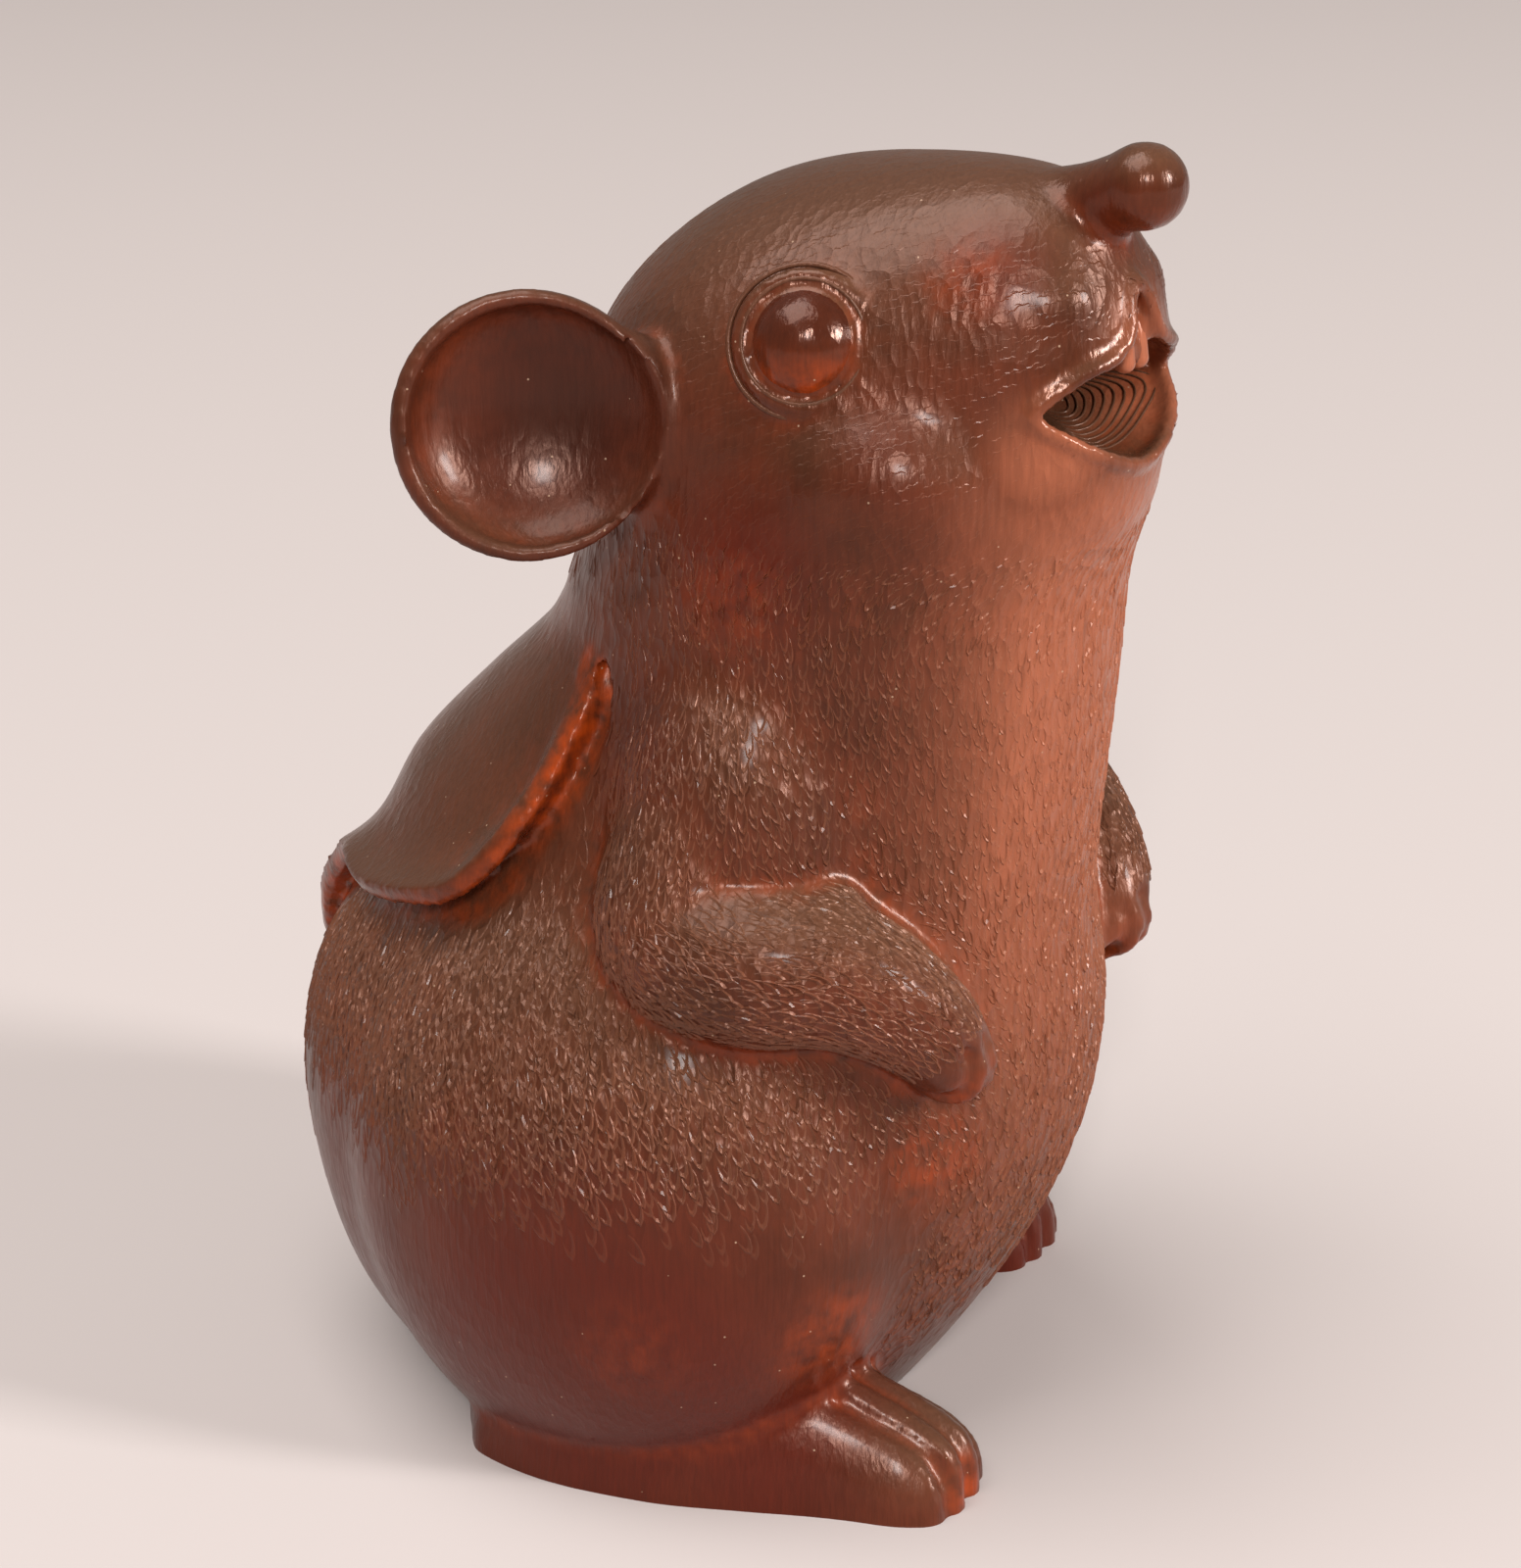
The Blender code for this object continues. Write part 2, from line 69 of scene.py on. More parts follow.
bl_info = {
    "name": "Boxwood Mouse",
    "version": (1, 0, 0),
    "blender": (4, 5, 0),
    "location": "View3D > Sidebar > Mouse",
    "description": "Builds a carved boxwood mouse with fur cuts, stain and a pale stage",
    "category": "Object",
}

# Driving size
HEIGHT = 0.105

# One hundredth of the height, the unit of every length and place below
UNIT = HEIGHT / 100.0

GRAIN = 0.4
MASS_BLEND = 2.5
LIMB_BLEND = 0.8
CUT_BLEND = 0.38

# Trunk: height, depth of the centre line, half width, half depth
TRUNK = [
    (-8.0, 8.0, 14.0, 13.0),
    (0.0, 8.0, 20.5, 19.5),
    (7.0, 9.0, 24.5, 25.5),
    (15.0, 8.4, 26.5, 29.5),
    (24.0, 7.4, 27.0, 31.8),
    (33.0, 5.8, 26.0, 31.2),
    (41.0, 3.2, 23.8, 27.6),
    (48.0, 1.6, 21.0, 26.6),
    (54.0, -1.3, 19.6, 24.3),
    (60.0, -4.4, 19.2, 21.7),
    (68.0, -6.2, 19.2, 20.4),
    (76.0, -8.3, 18.2, 20.7),
    (84.0, -8.5, 14.5, 17.0),
    (90.0, -8.0, 8.0, 10.0),
]

# The head is turned a little to the mouse's right, about an upright line at this depth
HEAD_TURN = 8.0
HEAD_PIVOT = -5.0

# Head, before its turn: depth from nape to muzzle, top, bottom, half width
HEAD = [
    (13.2, 81.0, 74.0, 4.0),
    (11.4, 85.6, 68.0, 9.5),
    (7.0, 90.2, 62.0, 14.8),
    (1.0, 94.2, 60.0, 17.8),
    (-5.0, 96.2, 60.0, 18.0),
    (-11.0, 97.1, 61.0, 16.4),
    (-17.0, 97.6, 64.0, 13.6),
    (-22.5, 97.3, 67.0, 11.0),
    (-26.0, 95.6, 69.0, 9.0),
    (-28.2, 92.4, 71.5, 7.2),
    (-29.6, 88.9, 74.5, 5.0),
    (-30.3, 85.0, 79.0, 2.5),
]

# Rounded masses of the right side: centre, radii
HAUNCH = ((-15.2, 5.0, 21.5), (16.3, 22.5, 25.0))
SHOULDER = ((-15.5, -4.5, 51.0), (8.2, 9.5, 13.0))
CHEEK = ((-9.5, -13.5, 76.5), (8.1, 10.8, 7.6))
LIP_LOBE = ((-3.2, -24.0, 88.4), (5.0, 4.8, 4.6))
EAR_ROOT = ((-18.0, 1.2, 80.0), (4.0, 4.0, 6.5))

# Right arm from shoulder to finger tips: place, radius
ARM = [
    (-18.0, -3.0, 50.0, 6.5),
    (-20.5, -3.0, 44.0, 6.6),
    (-21.0, -8.5, 43.0, 6.3),
    (-19.5, -13.5, 42.6, 5.6),
    (-17.4, -17.8, 40.2, 4.6),
    (-15.7, -20.3, 37.4, 3.9),
    (-14.8, -21.4, 35.4, 3.3),
]
ARM_CREST = ((-18.8, -13.2, 45.4), (3.2, 3.6, 3.6))
FINGER_PITCH = 2.4
FINGER_GROOVE = 0.9
# Degrees round the tip of the paw from its palm to its back; swell of the paw toward the wrist
FINGER_FROM = -50
FINGER_TO = 100
FINGER_STEP = 15
FINGER_SWELL = 0.4

# Right foot from heel to toes: depth, middle, half width, height
FOOT = [
    (16.0, -17.2, 4.0, 4.0),
    (13.0, -18.4, 7.0, 6.5),
    (6.0, -18.7, 8.2, 9.0),
    (-3.0, -18.0, 8.0, 10.5),
    (-10.0, -16.8, 7.0, 11.0),
    (-15.5, -15.9, 6.1, 8.8),
    (-20.0, -15.3, 5.7, 6.8),
    (-22.6, -15.1, 4.6, 5.2),
    (-23.6, -15.1, 2.6, 3.2),
]
LEFT_FOOT_SETBACK = 10.5
LEFT_FOOT_OUTSET = 9.0
TOE_PITCH = 2.9
TOE_GROOVE = 0.85
TOE_LINE = (-14.5, -17.0, -19.5, -21.5, -23.0, -23.6)

# Right ear: centre of its disc, the way its dish faces, radius, half thickness, rim
EAR_CENTRE = (-23.6, 5.0, 80.2)
EAR_FACING = (-0.785, -0.595, 0.16)
EAR_RADIUS = 9.4
EAR_HALF_DEPTH = 5.0
DISH_RADIUS = 9.0
DISH_RISE = 1.9
DISH_SHIFT = 0.6
EAR_RIM = 0.75
EAR_RIM_FROM = 42.0
EAR_RIM_TO = 312.0

# Nose, a short stalk with a round end, from root to tip: place, radius
NOSE = [
    (0.0, -20.5, 93.4, 3.6),
    (0.0, -25.0, 95.2, 2.8),
    (0.0, -27.6, 96.2, 2.8),
    (0.0, -29.4, 96.9, 3.1),
]

# Mouth, right half seen from the front: across, height; depths of the outline's plane, of the
# wider opening before it and of the narrower throat behind it; lip round it; right front tooth
MOUTH_EDGE = [
    (0.0, 89.8),
    (-1.0, 88.7),
    (-1.7, 86.7),
    (-3.2, 85.5),
    (-5.4, 84.9),
    (-7.2, 83.8),
    (-8.6, 82.2),
    (-6.6, 80.8),
    (-4.2, 79.6),
    (-1.6, 78.7),
    (0.0, 78.4),
]
MOUTH_FRONT = -34.0
MOUTH_PLANE = -26.0
MOUTH_BACK = -18.0
MOUTH_FLARE = 1.25
MOUTH_TAPER = 0.45
LIP = 0.55
TOOTH = [
    (-0.85, -26.8, 89.4, 0.75),
    (-0.9, -28.3, 87.0, 0.8),
    (-0.9, -28.8, 84.8, 0.75),
]

# Right eye: centre, the way it looks, radius, lid around it
EYE_CENTRE = (-13.1, -11.0, 86.1)
EYE_FACING = (-0.86, -0.40, 0.31)
EYE_RADIUS = 4.0
LID_RISE = 1.5
LID_THICKNESS = 0.6
LID_GAP = 0.5

# Flap on the back, from the middle to the top of its slit: angle round the trunk, height of edge
FLAP_EDGE = [
    (0.0, 26.0),
    (6.0, 28.5),
    (13.0, 34.5),
    (21.0, 38.8),
    (30.0, 40.4),
    (43.0, 40.6),
    (56.0, 42.0),
    (66.0, 43.8),
    (71.5, 47.0),
    (72.0, 50.5),
    (69.0, 54.5),
    (64.0, 58.0),
    (58.0, 61.0),
]
FLAP_ROOT_SPREAD = 0.8
FLAP_TOP = 65.0
FLAP_BROW = 40.0
FLAP_FLARE = 2.6
FLAP_SINK = 2.2
FLAP_DROOP = 0.16
FLAP_CURL = 10
SLIT_TAPER = 11.0
FLAP_THICKNESS = 1.8
SLIT = 1.1
SLIT_OUTSET = 0.7
UNDERCUT = 2.6
UNDERCUT_START = 0.8
LOBE_ANGLE = 25.0

STEPS_PER_SPAN = 4
RING_SIDES = 48
FOOT_SIDES = 24
CAPE_ROWS = 25

# Folds sharper than this many degrees stay crisp
CREASE = 60.0


def add_piece(name, mesh):
    piece = bpy.data.objects.new(name, mesh)
    bpy.context.scene.collection.objects.link(piece)
    return piece


def mesh_of(name, shape):
    """Turns a bmesh in hundredths of the height into a mesh in metres."""
    bmesh.ops.scale(shape, vec=(UNIT, UNIT, UNIT), verts=shape.verts)
    bmesh.ops.recalc_face_normals(shape, faces=shape.faces)
    mesh = bpy.data.meshes.new(name)
    shape.to_mesh(mesh)
    shape.free()
    return mesh


def curve_value(rows, column, place):
    """Catmull-Rom value of one column at a place counted in spans along the rows."""
    span = min(int(place), len(rows) - 2)
    t = place - span
    before, start, end, after = [rows[min(max(span + k, 0), len(rows) - 1)][column] for k in (-1, 0, 1, 2)]
    return 0.5 * (
        2.0 * start
        + (end - before) * t
        + (2.0 * before - 5.0 * start + 4.0 * end - after) * t * t
        + (3.0 * start - before - 3.0 * end + after) * t * t * t
    )


def smooth_rows(rows, steps=STEPS_PER_SPAN):
    """The rows with smoothly interpolated rows between them."""
    count = (len(rows) - 1) * steps
    columns = range(len(rows[0]))
    return [[curve_value(rows, column, k / steps) for column in columns] for k in range(count + 1)]


def row_at(rows, value):
    """The smooth row whose first column is the value, for rows sorted by that column."""
    last = len(rows) - 2
    span = next((k for k in range(last) if (rows[k + 1][0] - value) * (rows[-1][0] - rows[0][0]) > 0), last)
    t = (value - rows[span][0]) / (rows[span + 1][0] - rows[span][0])
    place = span + min(max(t, 0.0), 1.0)
    return [value] + [curve_value(rows, column, place) for column in range(1, len(rows[0]))]


def loft(name, rings):
    """Closed solid through rings of points, each ring with as many points as the next."""
    shape = bmesh.new()
    made = [[shape.verts.new(point) for point in ring] for ring in rings]
    for lower, upper in zip(made, made[1:]):
        for k in range(len(lower)):
            shape.faces.new((lower[k - 1], lower[k], upper[k], upper[k - 1]))
    shape.faces.new(made[0])
    shape.faces.new(made[-1])
    return add_piece(name, mesh_of(name, shape))


def turns(count):
    return [2.0 * math.pi * k / count for k in range(count)]


def ball(name, centre, radii, facing=(0.0, 0.0, 1.0)):
    """Ellipsoid whose third radius lies along the way it faces."""
    shape = bmesh.new()
    bmesh.ops.create_uvsphere(shape, u_segments=48, v_segments=24, radius=1.0)
    frame = Vector(facing).to_track_quat("Z", "Y").to_matrix().to_4x4()
    place = Matrix.Translation(Vector(centre)) @ frame @ Matrix.Diagonal((*radii, 1.0))
    bmesh.ops.transform(shape, matrix=place, verts=shape.verts)
    return add_piece(name, mesh_of(name, shape))


def limb(name, rows):
    """Round limb along a smooth line, with its own radius at each place and rounded ends."""
    rows = smooth_rows(rows)
    curve = bpy.data.curves.new(name, "CURVE")
    curve.dimensions = "3D"
    curve.bevel_depth = UNIT
    curve.bevel_resolution = 6
    curve.use_fill_caps = True
    line = curve.splines.new("POLY")
    line.points.add(len(rows) - 1)
    for point, row in zip(line.points, rows):
        point.co = (row[0] * UNIT, row[1] * UNIT, row[2] * UNIT, 1.0)
        point.radius = row[3]
    bent = add_piece(name, curve)
    solid = add_piece(name, evaluated_mesh(bent))
    bpy.data.objects.remove(bent, do_unlink=True)
    ends = [ball(name, row[:3], (row[3],) * 3) for row in (rows[0], rows[-1])]
    return [solid] + ends


def evaluated_mesh(piece):
    """The piece's mesh as its modifiers leave it, in world space."""
    graph = bpy.context.evaluated_depsgraph_get()
    mesh = bpy.data.meshes.new_from_object(piece.evaluated_get(graph), depsgraph=graph)
    mesh.transform(piece.matrix_world)
    return mesh


def both_sides(pieces):
    """Adds each piece's mirror image on the left side."""
    for piece in pieces:
        mirror = piece.modifiers.new("other side", "MIRROR")
        mirror.use_mirror_merge = False
    return pieces


def join(name, pieces):
    """One object of all the pieces' faces; the pieces themselves are removed."""
    joined = bmesh.new()
    for piece in pieces:
        joined.from_mesh(evaluated_mesh(piece))
    for piece in pieces:
        bpy.data.objects.remove(piece, do_unlink=True)
    mesh = bpy.data.meshes.new(name)
    joined.to_mesh(mesh)
    joined.free()
    return add_piece(name, mesh)


def drop_crumbs(piece):
    """Removes every loose bit of skin but the largest."""
    shape = bmesh.new()
    shape.from_mesh(piece.data)
    left = set(shape.verts)
    lumps = []
    while left:
        lump = [left.pop()]
        for vert in lump:
            near = {edge.other_vert(vert) for edge in vert.link_edges} & left
            left -= near
            lump += near
        lumps.append(lump)
    lumps.sort(key=len)
    for lump in lumps[:-1]:
        bmesh.ops.delete(shape, geom=lump, context="VERTS")
    shape.to_mesh(piece.data)
    shape.free()
    return piece


def fuse(name, pieces, blend):
    """Clay made of all the pieces as one skin, softened over the blend distance."""
    lump = join(name, pieces)
    skin = lump.modifiers.new("one skin", "REMESH")
    skin.mode = "VOXEL"
    skin.voxel_size = GRAIN * UNIT
    skin.use_smooth_shade = True
    if blend > 0.0:
        soft = lump.modifiers.new("soften", "SMOOTH")
        soft.factor = 0.5
        soft.iterations = max(1, round(4.0 * (blend / GRAIN) ** 2))
    return join(name, [lump])


def carve(piece, cutter):
    cut = piece.modifiers.new(cutter.name, "BOOLEAN")
    cut.object = cutter
    cut.operation = "DIFFERENCE"
    cut.solver = "EXACT"


def trunk():
    rings = []
    for height, depth, half_width, half_depth in smooth_rows(TRUNK):
        rings.append([
            (half_width * math.cos(t), depth + half_depth * math.sin(t), height)
            for t in turns(RING_SIDES)
        ])
    return loft("trunk", rings)


def head():
    rings = []
    for depth, top, bottom, half_width in smooth_rows(HEAD):
        middle = (top + bottom) / 2.0
        rise = (top - bottom) / 2.0
        rings.append([
            (half_width * math.cos(t), depth, middle + rise * math.sin(t))
            for t in turns(RING_SIDES)
        ])
    return loft("head", rings)


def head_turn():
    """The head's turn about the upright line through its pivot."""
    pivot = Vector((0.0, HEAD_PIVOT * UNIT, 0.0))
    turn = Matrix.Translation(pivot) @ Matrix.Rotation(math.radians(-HEAD_TURN), 4, "Z")
    return turn @ Matrix.Translation(-pivot)


def turned_head(pieces):
    turned = join("turned head", pieces)
    turned.data.transform(head_turn())
    return [turned]


def masses():
    pieces = [trunk()] + both_sides([ball("haunch", *HAUNCH), ball("shoulder", *SHOULDER)])
    pieces += turned_head([head()] + both_sides([ball("cheek", *CHEEK)]))
    return fuse("masses", pieces, MASS_BLEND)


def foot_row(side, setback, outset, depth):
    """Middle, half width and height of a foot; the outset grows from heel to toes."""
    _, middle, half_width, height = row_at(FOOT, depth)
    toward_toes = (FOOT[0][0] - depth) / (FOOT[0][0] - FOOT[-1][0])
    return side * middle + outset * toward_toes, depth + setback, half_width, height


def foot(side, setback, outset):
    """Flat-soled foot; its lower half lies below the ground and is cut away."""
    rings = []
    for row in smooth_rows(FOOT):
        middle, depth, half_width, height = foot_row(side, setback, outset, row[0])
        rings.append([
            (middle + half_width * math.cos(t), depth, height * math.sin(t))
            for t in turns(FOOT_SIDES)
        ])
    return loft("foot", rings)


def limbs():
    pieces = both_sides(limb("arm", ARM) + [ball("arm crest", *ARM_CREST)])
    pieces += [foot(1.0, 0.0, 0.0), foot(-1.0, LEFT_FOOT_SETBACK, LEFT_FOOT_OUTSET)]
    disc = (EAR_RADIUS, EAR_RADIUS, EAR_HALF_DEPTH)
    face = [ball("ear", EAR_CENTRE, disc, EAR_FACING), ball("ear root", *EAR_ROOT)]
    face.append(ball("lip lobe", *LIP_LOBE))
    return pieces + turned_head(both_sides(face) + limb("nose", NOSE))


def on_trunk(angle, height, offset):
    """Point at an angle round the trunk from the middle of the back, moved out by the offset."""
    half_width, half_depth = row_at(TRUNK, height)[2:]
    across = (half_width + offset) * math.sin(math.radians(angle))
    along = (half_depth + offset) * math.cos(math.radians(angle))
    return (-across, row_at(TRUNK, height)[1] + along, height)


def flap_offset(share, height):
    """How far the flap stands off the trunk: it flares at its free edge, less up along the slit."""
    taper = min(max((FLAP_EDGE[-1][1] - height) / SLIT_TAPER, 0.0), 1.0)
    droop = FLAP_DROOP * max(FLAP_BROW - height, 0.0)
    return FLAP_FLARE * taper * share ** FLAP_CURL - droop - FLAP_SINK * (1.0 - share)


def flap_edge(first=0.0):
    """Angle and height along the free edge, up its right side from the first angle."""
    return [row for row in smooth_rows(FLAP_EDGE) if row[0] >= first]


def slit():
    """Groove beside the flap's free edge, from the lobe on the rump to the top of the right slit."""
    edge = flap_edge(LOBE_ANGLE)
    rows = []
    for before, (angle, height), after in zip(edge, edge[1:], edge[2:]):
        girth = row_at(TRUNK, height)[3]
        across = math.radians(after[0] - before[0]) * girth
        rise = after[1] - before[1]
        outset = SLIT_OUTSET / math.hypot(across, rise)
        angle += math.degrees(rise * outset / girth)
        rows.append((*on_trunk(angle, height - across * outset, flap_offset(1.0, height) - SLIT), SLIT))
    return limb("slit", rows[::2])


def cape(name, edge, start, thickness, lift):
    """Sheet hugging the back, from a share of the flap's length down to the given edge."""
    shape = bmesh.new()
    columns = []
    for angle, height in edge:
        column = []
        for row in range(CAPE_ROWS):
            share = start + (1.0 - start) * row / (CAPE_ROWS - 1)
            at_angle = angle * (FLAP_ROOT_SPREAD + (1.0 - FLAP_ROOT_SPREAD) * share)
            at_height = FLAP_TOP + (height - FLAP_TOP) * share
            place = on_trunk(at_angle, at_height, flap_offset(share, at_height) + lift)
            column.append(shape.verts.new(place))
        columns.append(column)
    for left, right in zip(columns, columns[1:]):
        for k in range(CAPE_ROWS - 1):
            shape.faces.new((left[k], left[k + 1], right[k + 1], right[k]))
    sheet = add_piece(name, mesh_of(name, shape))
    wall = sheet.modifiers.new("wall", "SOLIDIFY")
    wall.thickness = thickness * UNIT
    wall.offset = -1.0
    return sheet


def ring(name, centre, facing, radius, thickness):
    """Round ring of the given half thickness, square to the way it faces."""
    turn = Vector(facing).to_track_quat("Z", "Y")
    bpy.ops.mesh.primitive_torus_add(
        major_radius=radius * UNIT,
        minor_radius=thickness * UNIT,
        major_segments=48,
        minor_segments=12,
        location=Vector(centre) * UNIT,
        rotation=turn.to_euler(),
    )
    torus = bpy.context.object
    placed = add_piece(name, evaluated_mesh(torus))
    bpy.data.objects.remove(torus, do_unlink=True)
    return placed


def mouth_ring(depth, size):
    """The mouth's outline at a depth, grown or shrunk about its own middle."""
    right = smooth_rows(MOUTH_EDGE, 3)
    outline = right[:-1] + [(-across, height) for across, height in reversed(right)][:-1]
    middle = sum(height for _, height in outline) / len(outline)
    return [(size * across, depth, middle + size * (height - middle)) for across, height in outline]


def mouth():
    """The opening, as an outline drawn back into the head and growing smaller there."""
    rings = [(MOUTH_FRONT, MOUTH_FLARE), (MOUTH_PLANE, 1.0), (MOUTH_BACK, MOUTH_TAPER)]
    return loft("mouth", [mouth_ring(*ring) for ring in rings])


def lips(clay):
    """Rounded edge of the mouth, where its outline runs into the turned head."""
    skin = BVHTree.FromObject(clay, bpy.context.evaluated_depsgraph_get())
    turn = head_turn()
    rows = []
    for outer, inner in zip(mouth_ring(MOUTH_FRONT, MOUTH_FLARE), mouth_ring(MOUTH_PLANE, 1.0)):
        start = turn @ (Vector(outer) * UNIT)
        place = skin.ray_cast(start, turn @ (Vector(inner) * UNIT) - start)[0] / UNIT
        rows.append((*place, LIP))
    return limb("lips", rows + rows[:1])


def toe_cuts(side, setback, outset):
    """Grooves along the top and front of the foot, between its four toes."""
    cutters = []
    for k in (-1, 0, 1):
        rows = []
        for depth in TOE_LINE:
            middle, along, half_width, height = foot_row(side, setback, outset, depth)
            share = min(abs(k) * TOE_PITCH / half_width, 0.95)
            height *= math.sqrt(1.0 - share * share)
            rows.append((middle + k * TOE_PITCH, along, height + 0.1, TOE_GROOVE))
        rows.append((rows[-1][0], rows[-1][1] - 0.2, -2.0, TOE_GROOVE))
        cutters += limb("toe groove", rows)
    return cutters


def finger_cuts():
    """Grooves that run over the tip of the paw from its back to its palm, between the fingers."""
    tip, radius = Vector(ARM[-1][:3]), ARM[-1][3]
    along = tip - Vector(ARM[-2][:3])
    along = Vector((0.0, along.y, along.z)).normalized()
    back = along.cross(Vector((1.0, 0.0, 0.0)))
    cutters = []
    for k in (-1, 0, 1):
        rows = []
        for degrees in range(FINGER_FROM, FINGER_TO + 1, FINGER_STEP):
            turn = math.radians(degrees)
            swell = FINGER_SWELL * max(math.sin(turn), 0.0)
            reach = math.sqrt((radius + swell) ** 2 - (k * FINGER_PITCH) ** 2)
            place = tip + reach * (along * math.cos(turn) + back * math.sin(turn))
            rows.append((place.x + k * FINGER_PITCH, place.y, place.z, FINGER_GROOVE))
        cutters += limb("finger groove", rows)
    return cutters


def ear_axes():
    """Ways square to the ear's facing: level toward the face, and up."""
    facing = Vector(EAR_FACING).normalized()
    level = Vector((0.0, 0.0, 1.0)).cross(facing).normalized()
    return facing, level, facing.cross(level)


def ear_rim():
    """Rolled edge of the ear, thinning out at both ends where the dish runs into the face."""
    facing, level, up = ear_axes()
    middle = Vector(EAR_CENTRE) + facing * DISH_RISE * 0.5
    rows = []
    for k in range(RING_SIDES + 1):
        turn = math.radians(EAR_RIM_FROM + (EAR_RIM_TO - EAR_RIM_FROM) * k / RING_SIDES)
        reach = (EAR_RADIUS - EAR_RIM * 0.8) * (level * math.cos(turn) + up * math.sin(turn))
        rows.append((*(middle + reach), EAR_RIM * (0.4 + 0.6 * math.sin(math.pi * k / RING_SIDES) ** 0.5)))
    return limb("ear rim", rows[::2])


def cuts():
    facing, level, _ = ear_axes()
    dish = (DISH_RADIUS, DISH_RADIUS, EAR_HALF_DEPTH)
    dish_centre = Vector(EAR_CENTRE) + facing * DISH_RISE + level * DISH_SHIFT
    socket = ring("socket", lid_centre(), EYE_FACING, EYE_RADIUS, LID_GAP)
    pieces = both_sides([ball("ear dish", dish_centre, dish, facing), socket])
    pieces = turned_head(pieces + [mouth()])
    pieces += both_sides(finger_cuts())
    pieces += toe_cuts(1.0, 0.0, 0.0) + toe_cuts(-1.0, LEFT_FOOT_SETBACK, LEFT_FOOT_OUTSET)
    undercut = cape("undercut", flap_edge(LOBE_ANGLE), UNDERCUT_START, UNDERCUT, -FLAP_THICKNESS / 2.0)
    pieces += both_sides([undercut] + slit())
    return fuse("cuts", pieces, 0.0)


def lid_centre():
    return Vector(EYE_CENTRE) + Vector(EYE_FACING).normalized() * LID_RISE


def face():
    """What is set into the head after the cutting: eyes, lids, teeth and the rims of the ears."""
    lid = ring("lid", lid_centre(), EYE_FACING, EYE_RADIUS + LID_GAP, LID_THICKNESS)
    pieces = [ball("eye", EYE_CENTRE, (EYE_RADIUS,) * 3), lid]
    return turned_head(both_sides(pieces + limb("tooth", TOOTH) + ear_rim()))


def flap():
    right = flap_edge()
    left = [(-angle, height) for angle, height in reversed(right[1:])]
    return cape("flap", left + right, 0.0, FLAP_THICKNESS, 0.0)


def carved_mouse(sizes):
    """The finished form, cut level at its underside and thinned to the triangle goal."""
    clay = fuse("limbs", [masses()] + limbs(), LIMB_BLEND)
    edge = lips(clay)
    cutter = cuts()
    carve(clay, cutter)
    mouse = drop_crumbs(fuse("mouse_carving", [clay, flap()] + edge + face(), CUT_BLEND))
    bpy.data.objects.remove(cutter, do_unlink=True)
    faces = sum(len(side.vertices) - 2 for side in mouse.data.polygons)
    if faces > sizes.triangles:
        thin = mouse.modifiers.new("facets", "DECIMATE")
        thin.ratio = sizes.triangles / faces
        mouse = join("mouse_carving", [mouse])
    shape = bmesh.new()
    shape.from_mesh(mouse.data)
    everything = list(shape.verts) + list(shape.edges) + list(shape.faces)
    bmesh.ops.bisect_plane(
        shape, geom=everything, plane_co=(0.0, 0.0, 0.0), plane_no=(0.0, 0.0, 1.0), clear_inner=True)
    rim = [edge for edge in shape.edges if edge.is_boundary]
    level = bmesh.ops.holes_fill(shape, edges=rim, sides=0)["faces"]
    bmesh.ops.triangulate(shape, faces=level)
    bmesh.ops.recalc_face_normals(shape, faces=shape.faces)
    for side in shape.faces:
        side.smooth = True
    for edge in shape.edges:
        edge.smooth = edge.calc_face_angle(0.0) < math.radians(CREASE)
    mouse.data.clear_geometry()
    shape.to_mesh(mouse.data)
    shape.free()
    return mouse


# Bare places without fur cuts: centre, radius. The head's places are before its turn
BARE_ON_HEAD = [
    ((-13.1, -11.0, 86.1), 5.3),
    ((0.0, -29.0, 97.0), 4.4),
    ((0.0, -26.0, 95.4), 3.4),
    ((0.0, -28.0, 82.5), 6.2),
    ((-3.5, -28.0, 83.0), 4.6),
    ((-6.5, -26.0, 82.8), 3.2),
    ((0.0, -27.0, 88.0), 3.2),
]

# Places where thin stain glows orange: centre, radius, strength
GLOW_ON_HEAD = [
    ((-13.6, -12.2, 85.0), 3.8, 0.8),
    ((0.0, -29.0, 95.8), 3.6, 0.7),
    ((-9.0, -21.0, 91.0), 4.5, 0.4),
    ((-17.0, -8.5, 68.0), 6.5, 0.35),
]
GLOW_ON_BODY = [
    ((-27.0, -2.0, 15.0), 7.0, 0.3),
    ((-21.0, -16.0, 14.0), 7.0, 0.55),
    ((-14.0, -20.0, 27.0), 6.0, 0.5),
    ((-15.5, -23.5, 1.5), 3.5, 1.0),
    ((-14.8, -21.8, 34.0), 4.2, 0.8),
    ((-19.0, 5.0, 38.0), 4.5, 0.6),
]

# Places where the fur cuts are sparse and low: centre, radius, strength
SPARSE_ON_BODY = [
    ((-13.0, 8.0, 62.0), 15.0, 0.8),
    ((-21.0, -8.0, 43.0), 9.0, 0.6),
    ((-20.0, 6.0, 50.0), 10.0, 0.6),
]

# Places rubbed pale: centre, radius, strength
PALE_ON_HEAD = [
    ((-6.5, -26.5, 79.5), 6.5, 1.0),
    ((-1.0, -30.0, 87.0), 5.0, 0.5),
]

# Places painted with shade, in the ear's dish and deep in the mouth: centre, radius, strength
SHADE_ON_HEAD = [
    ((-22.5, 4.0, 80.0), 13.5, 1.3),
    ((0.0, -22.0, 84.5), 6.0, 1.0),
]
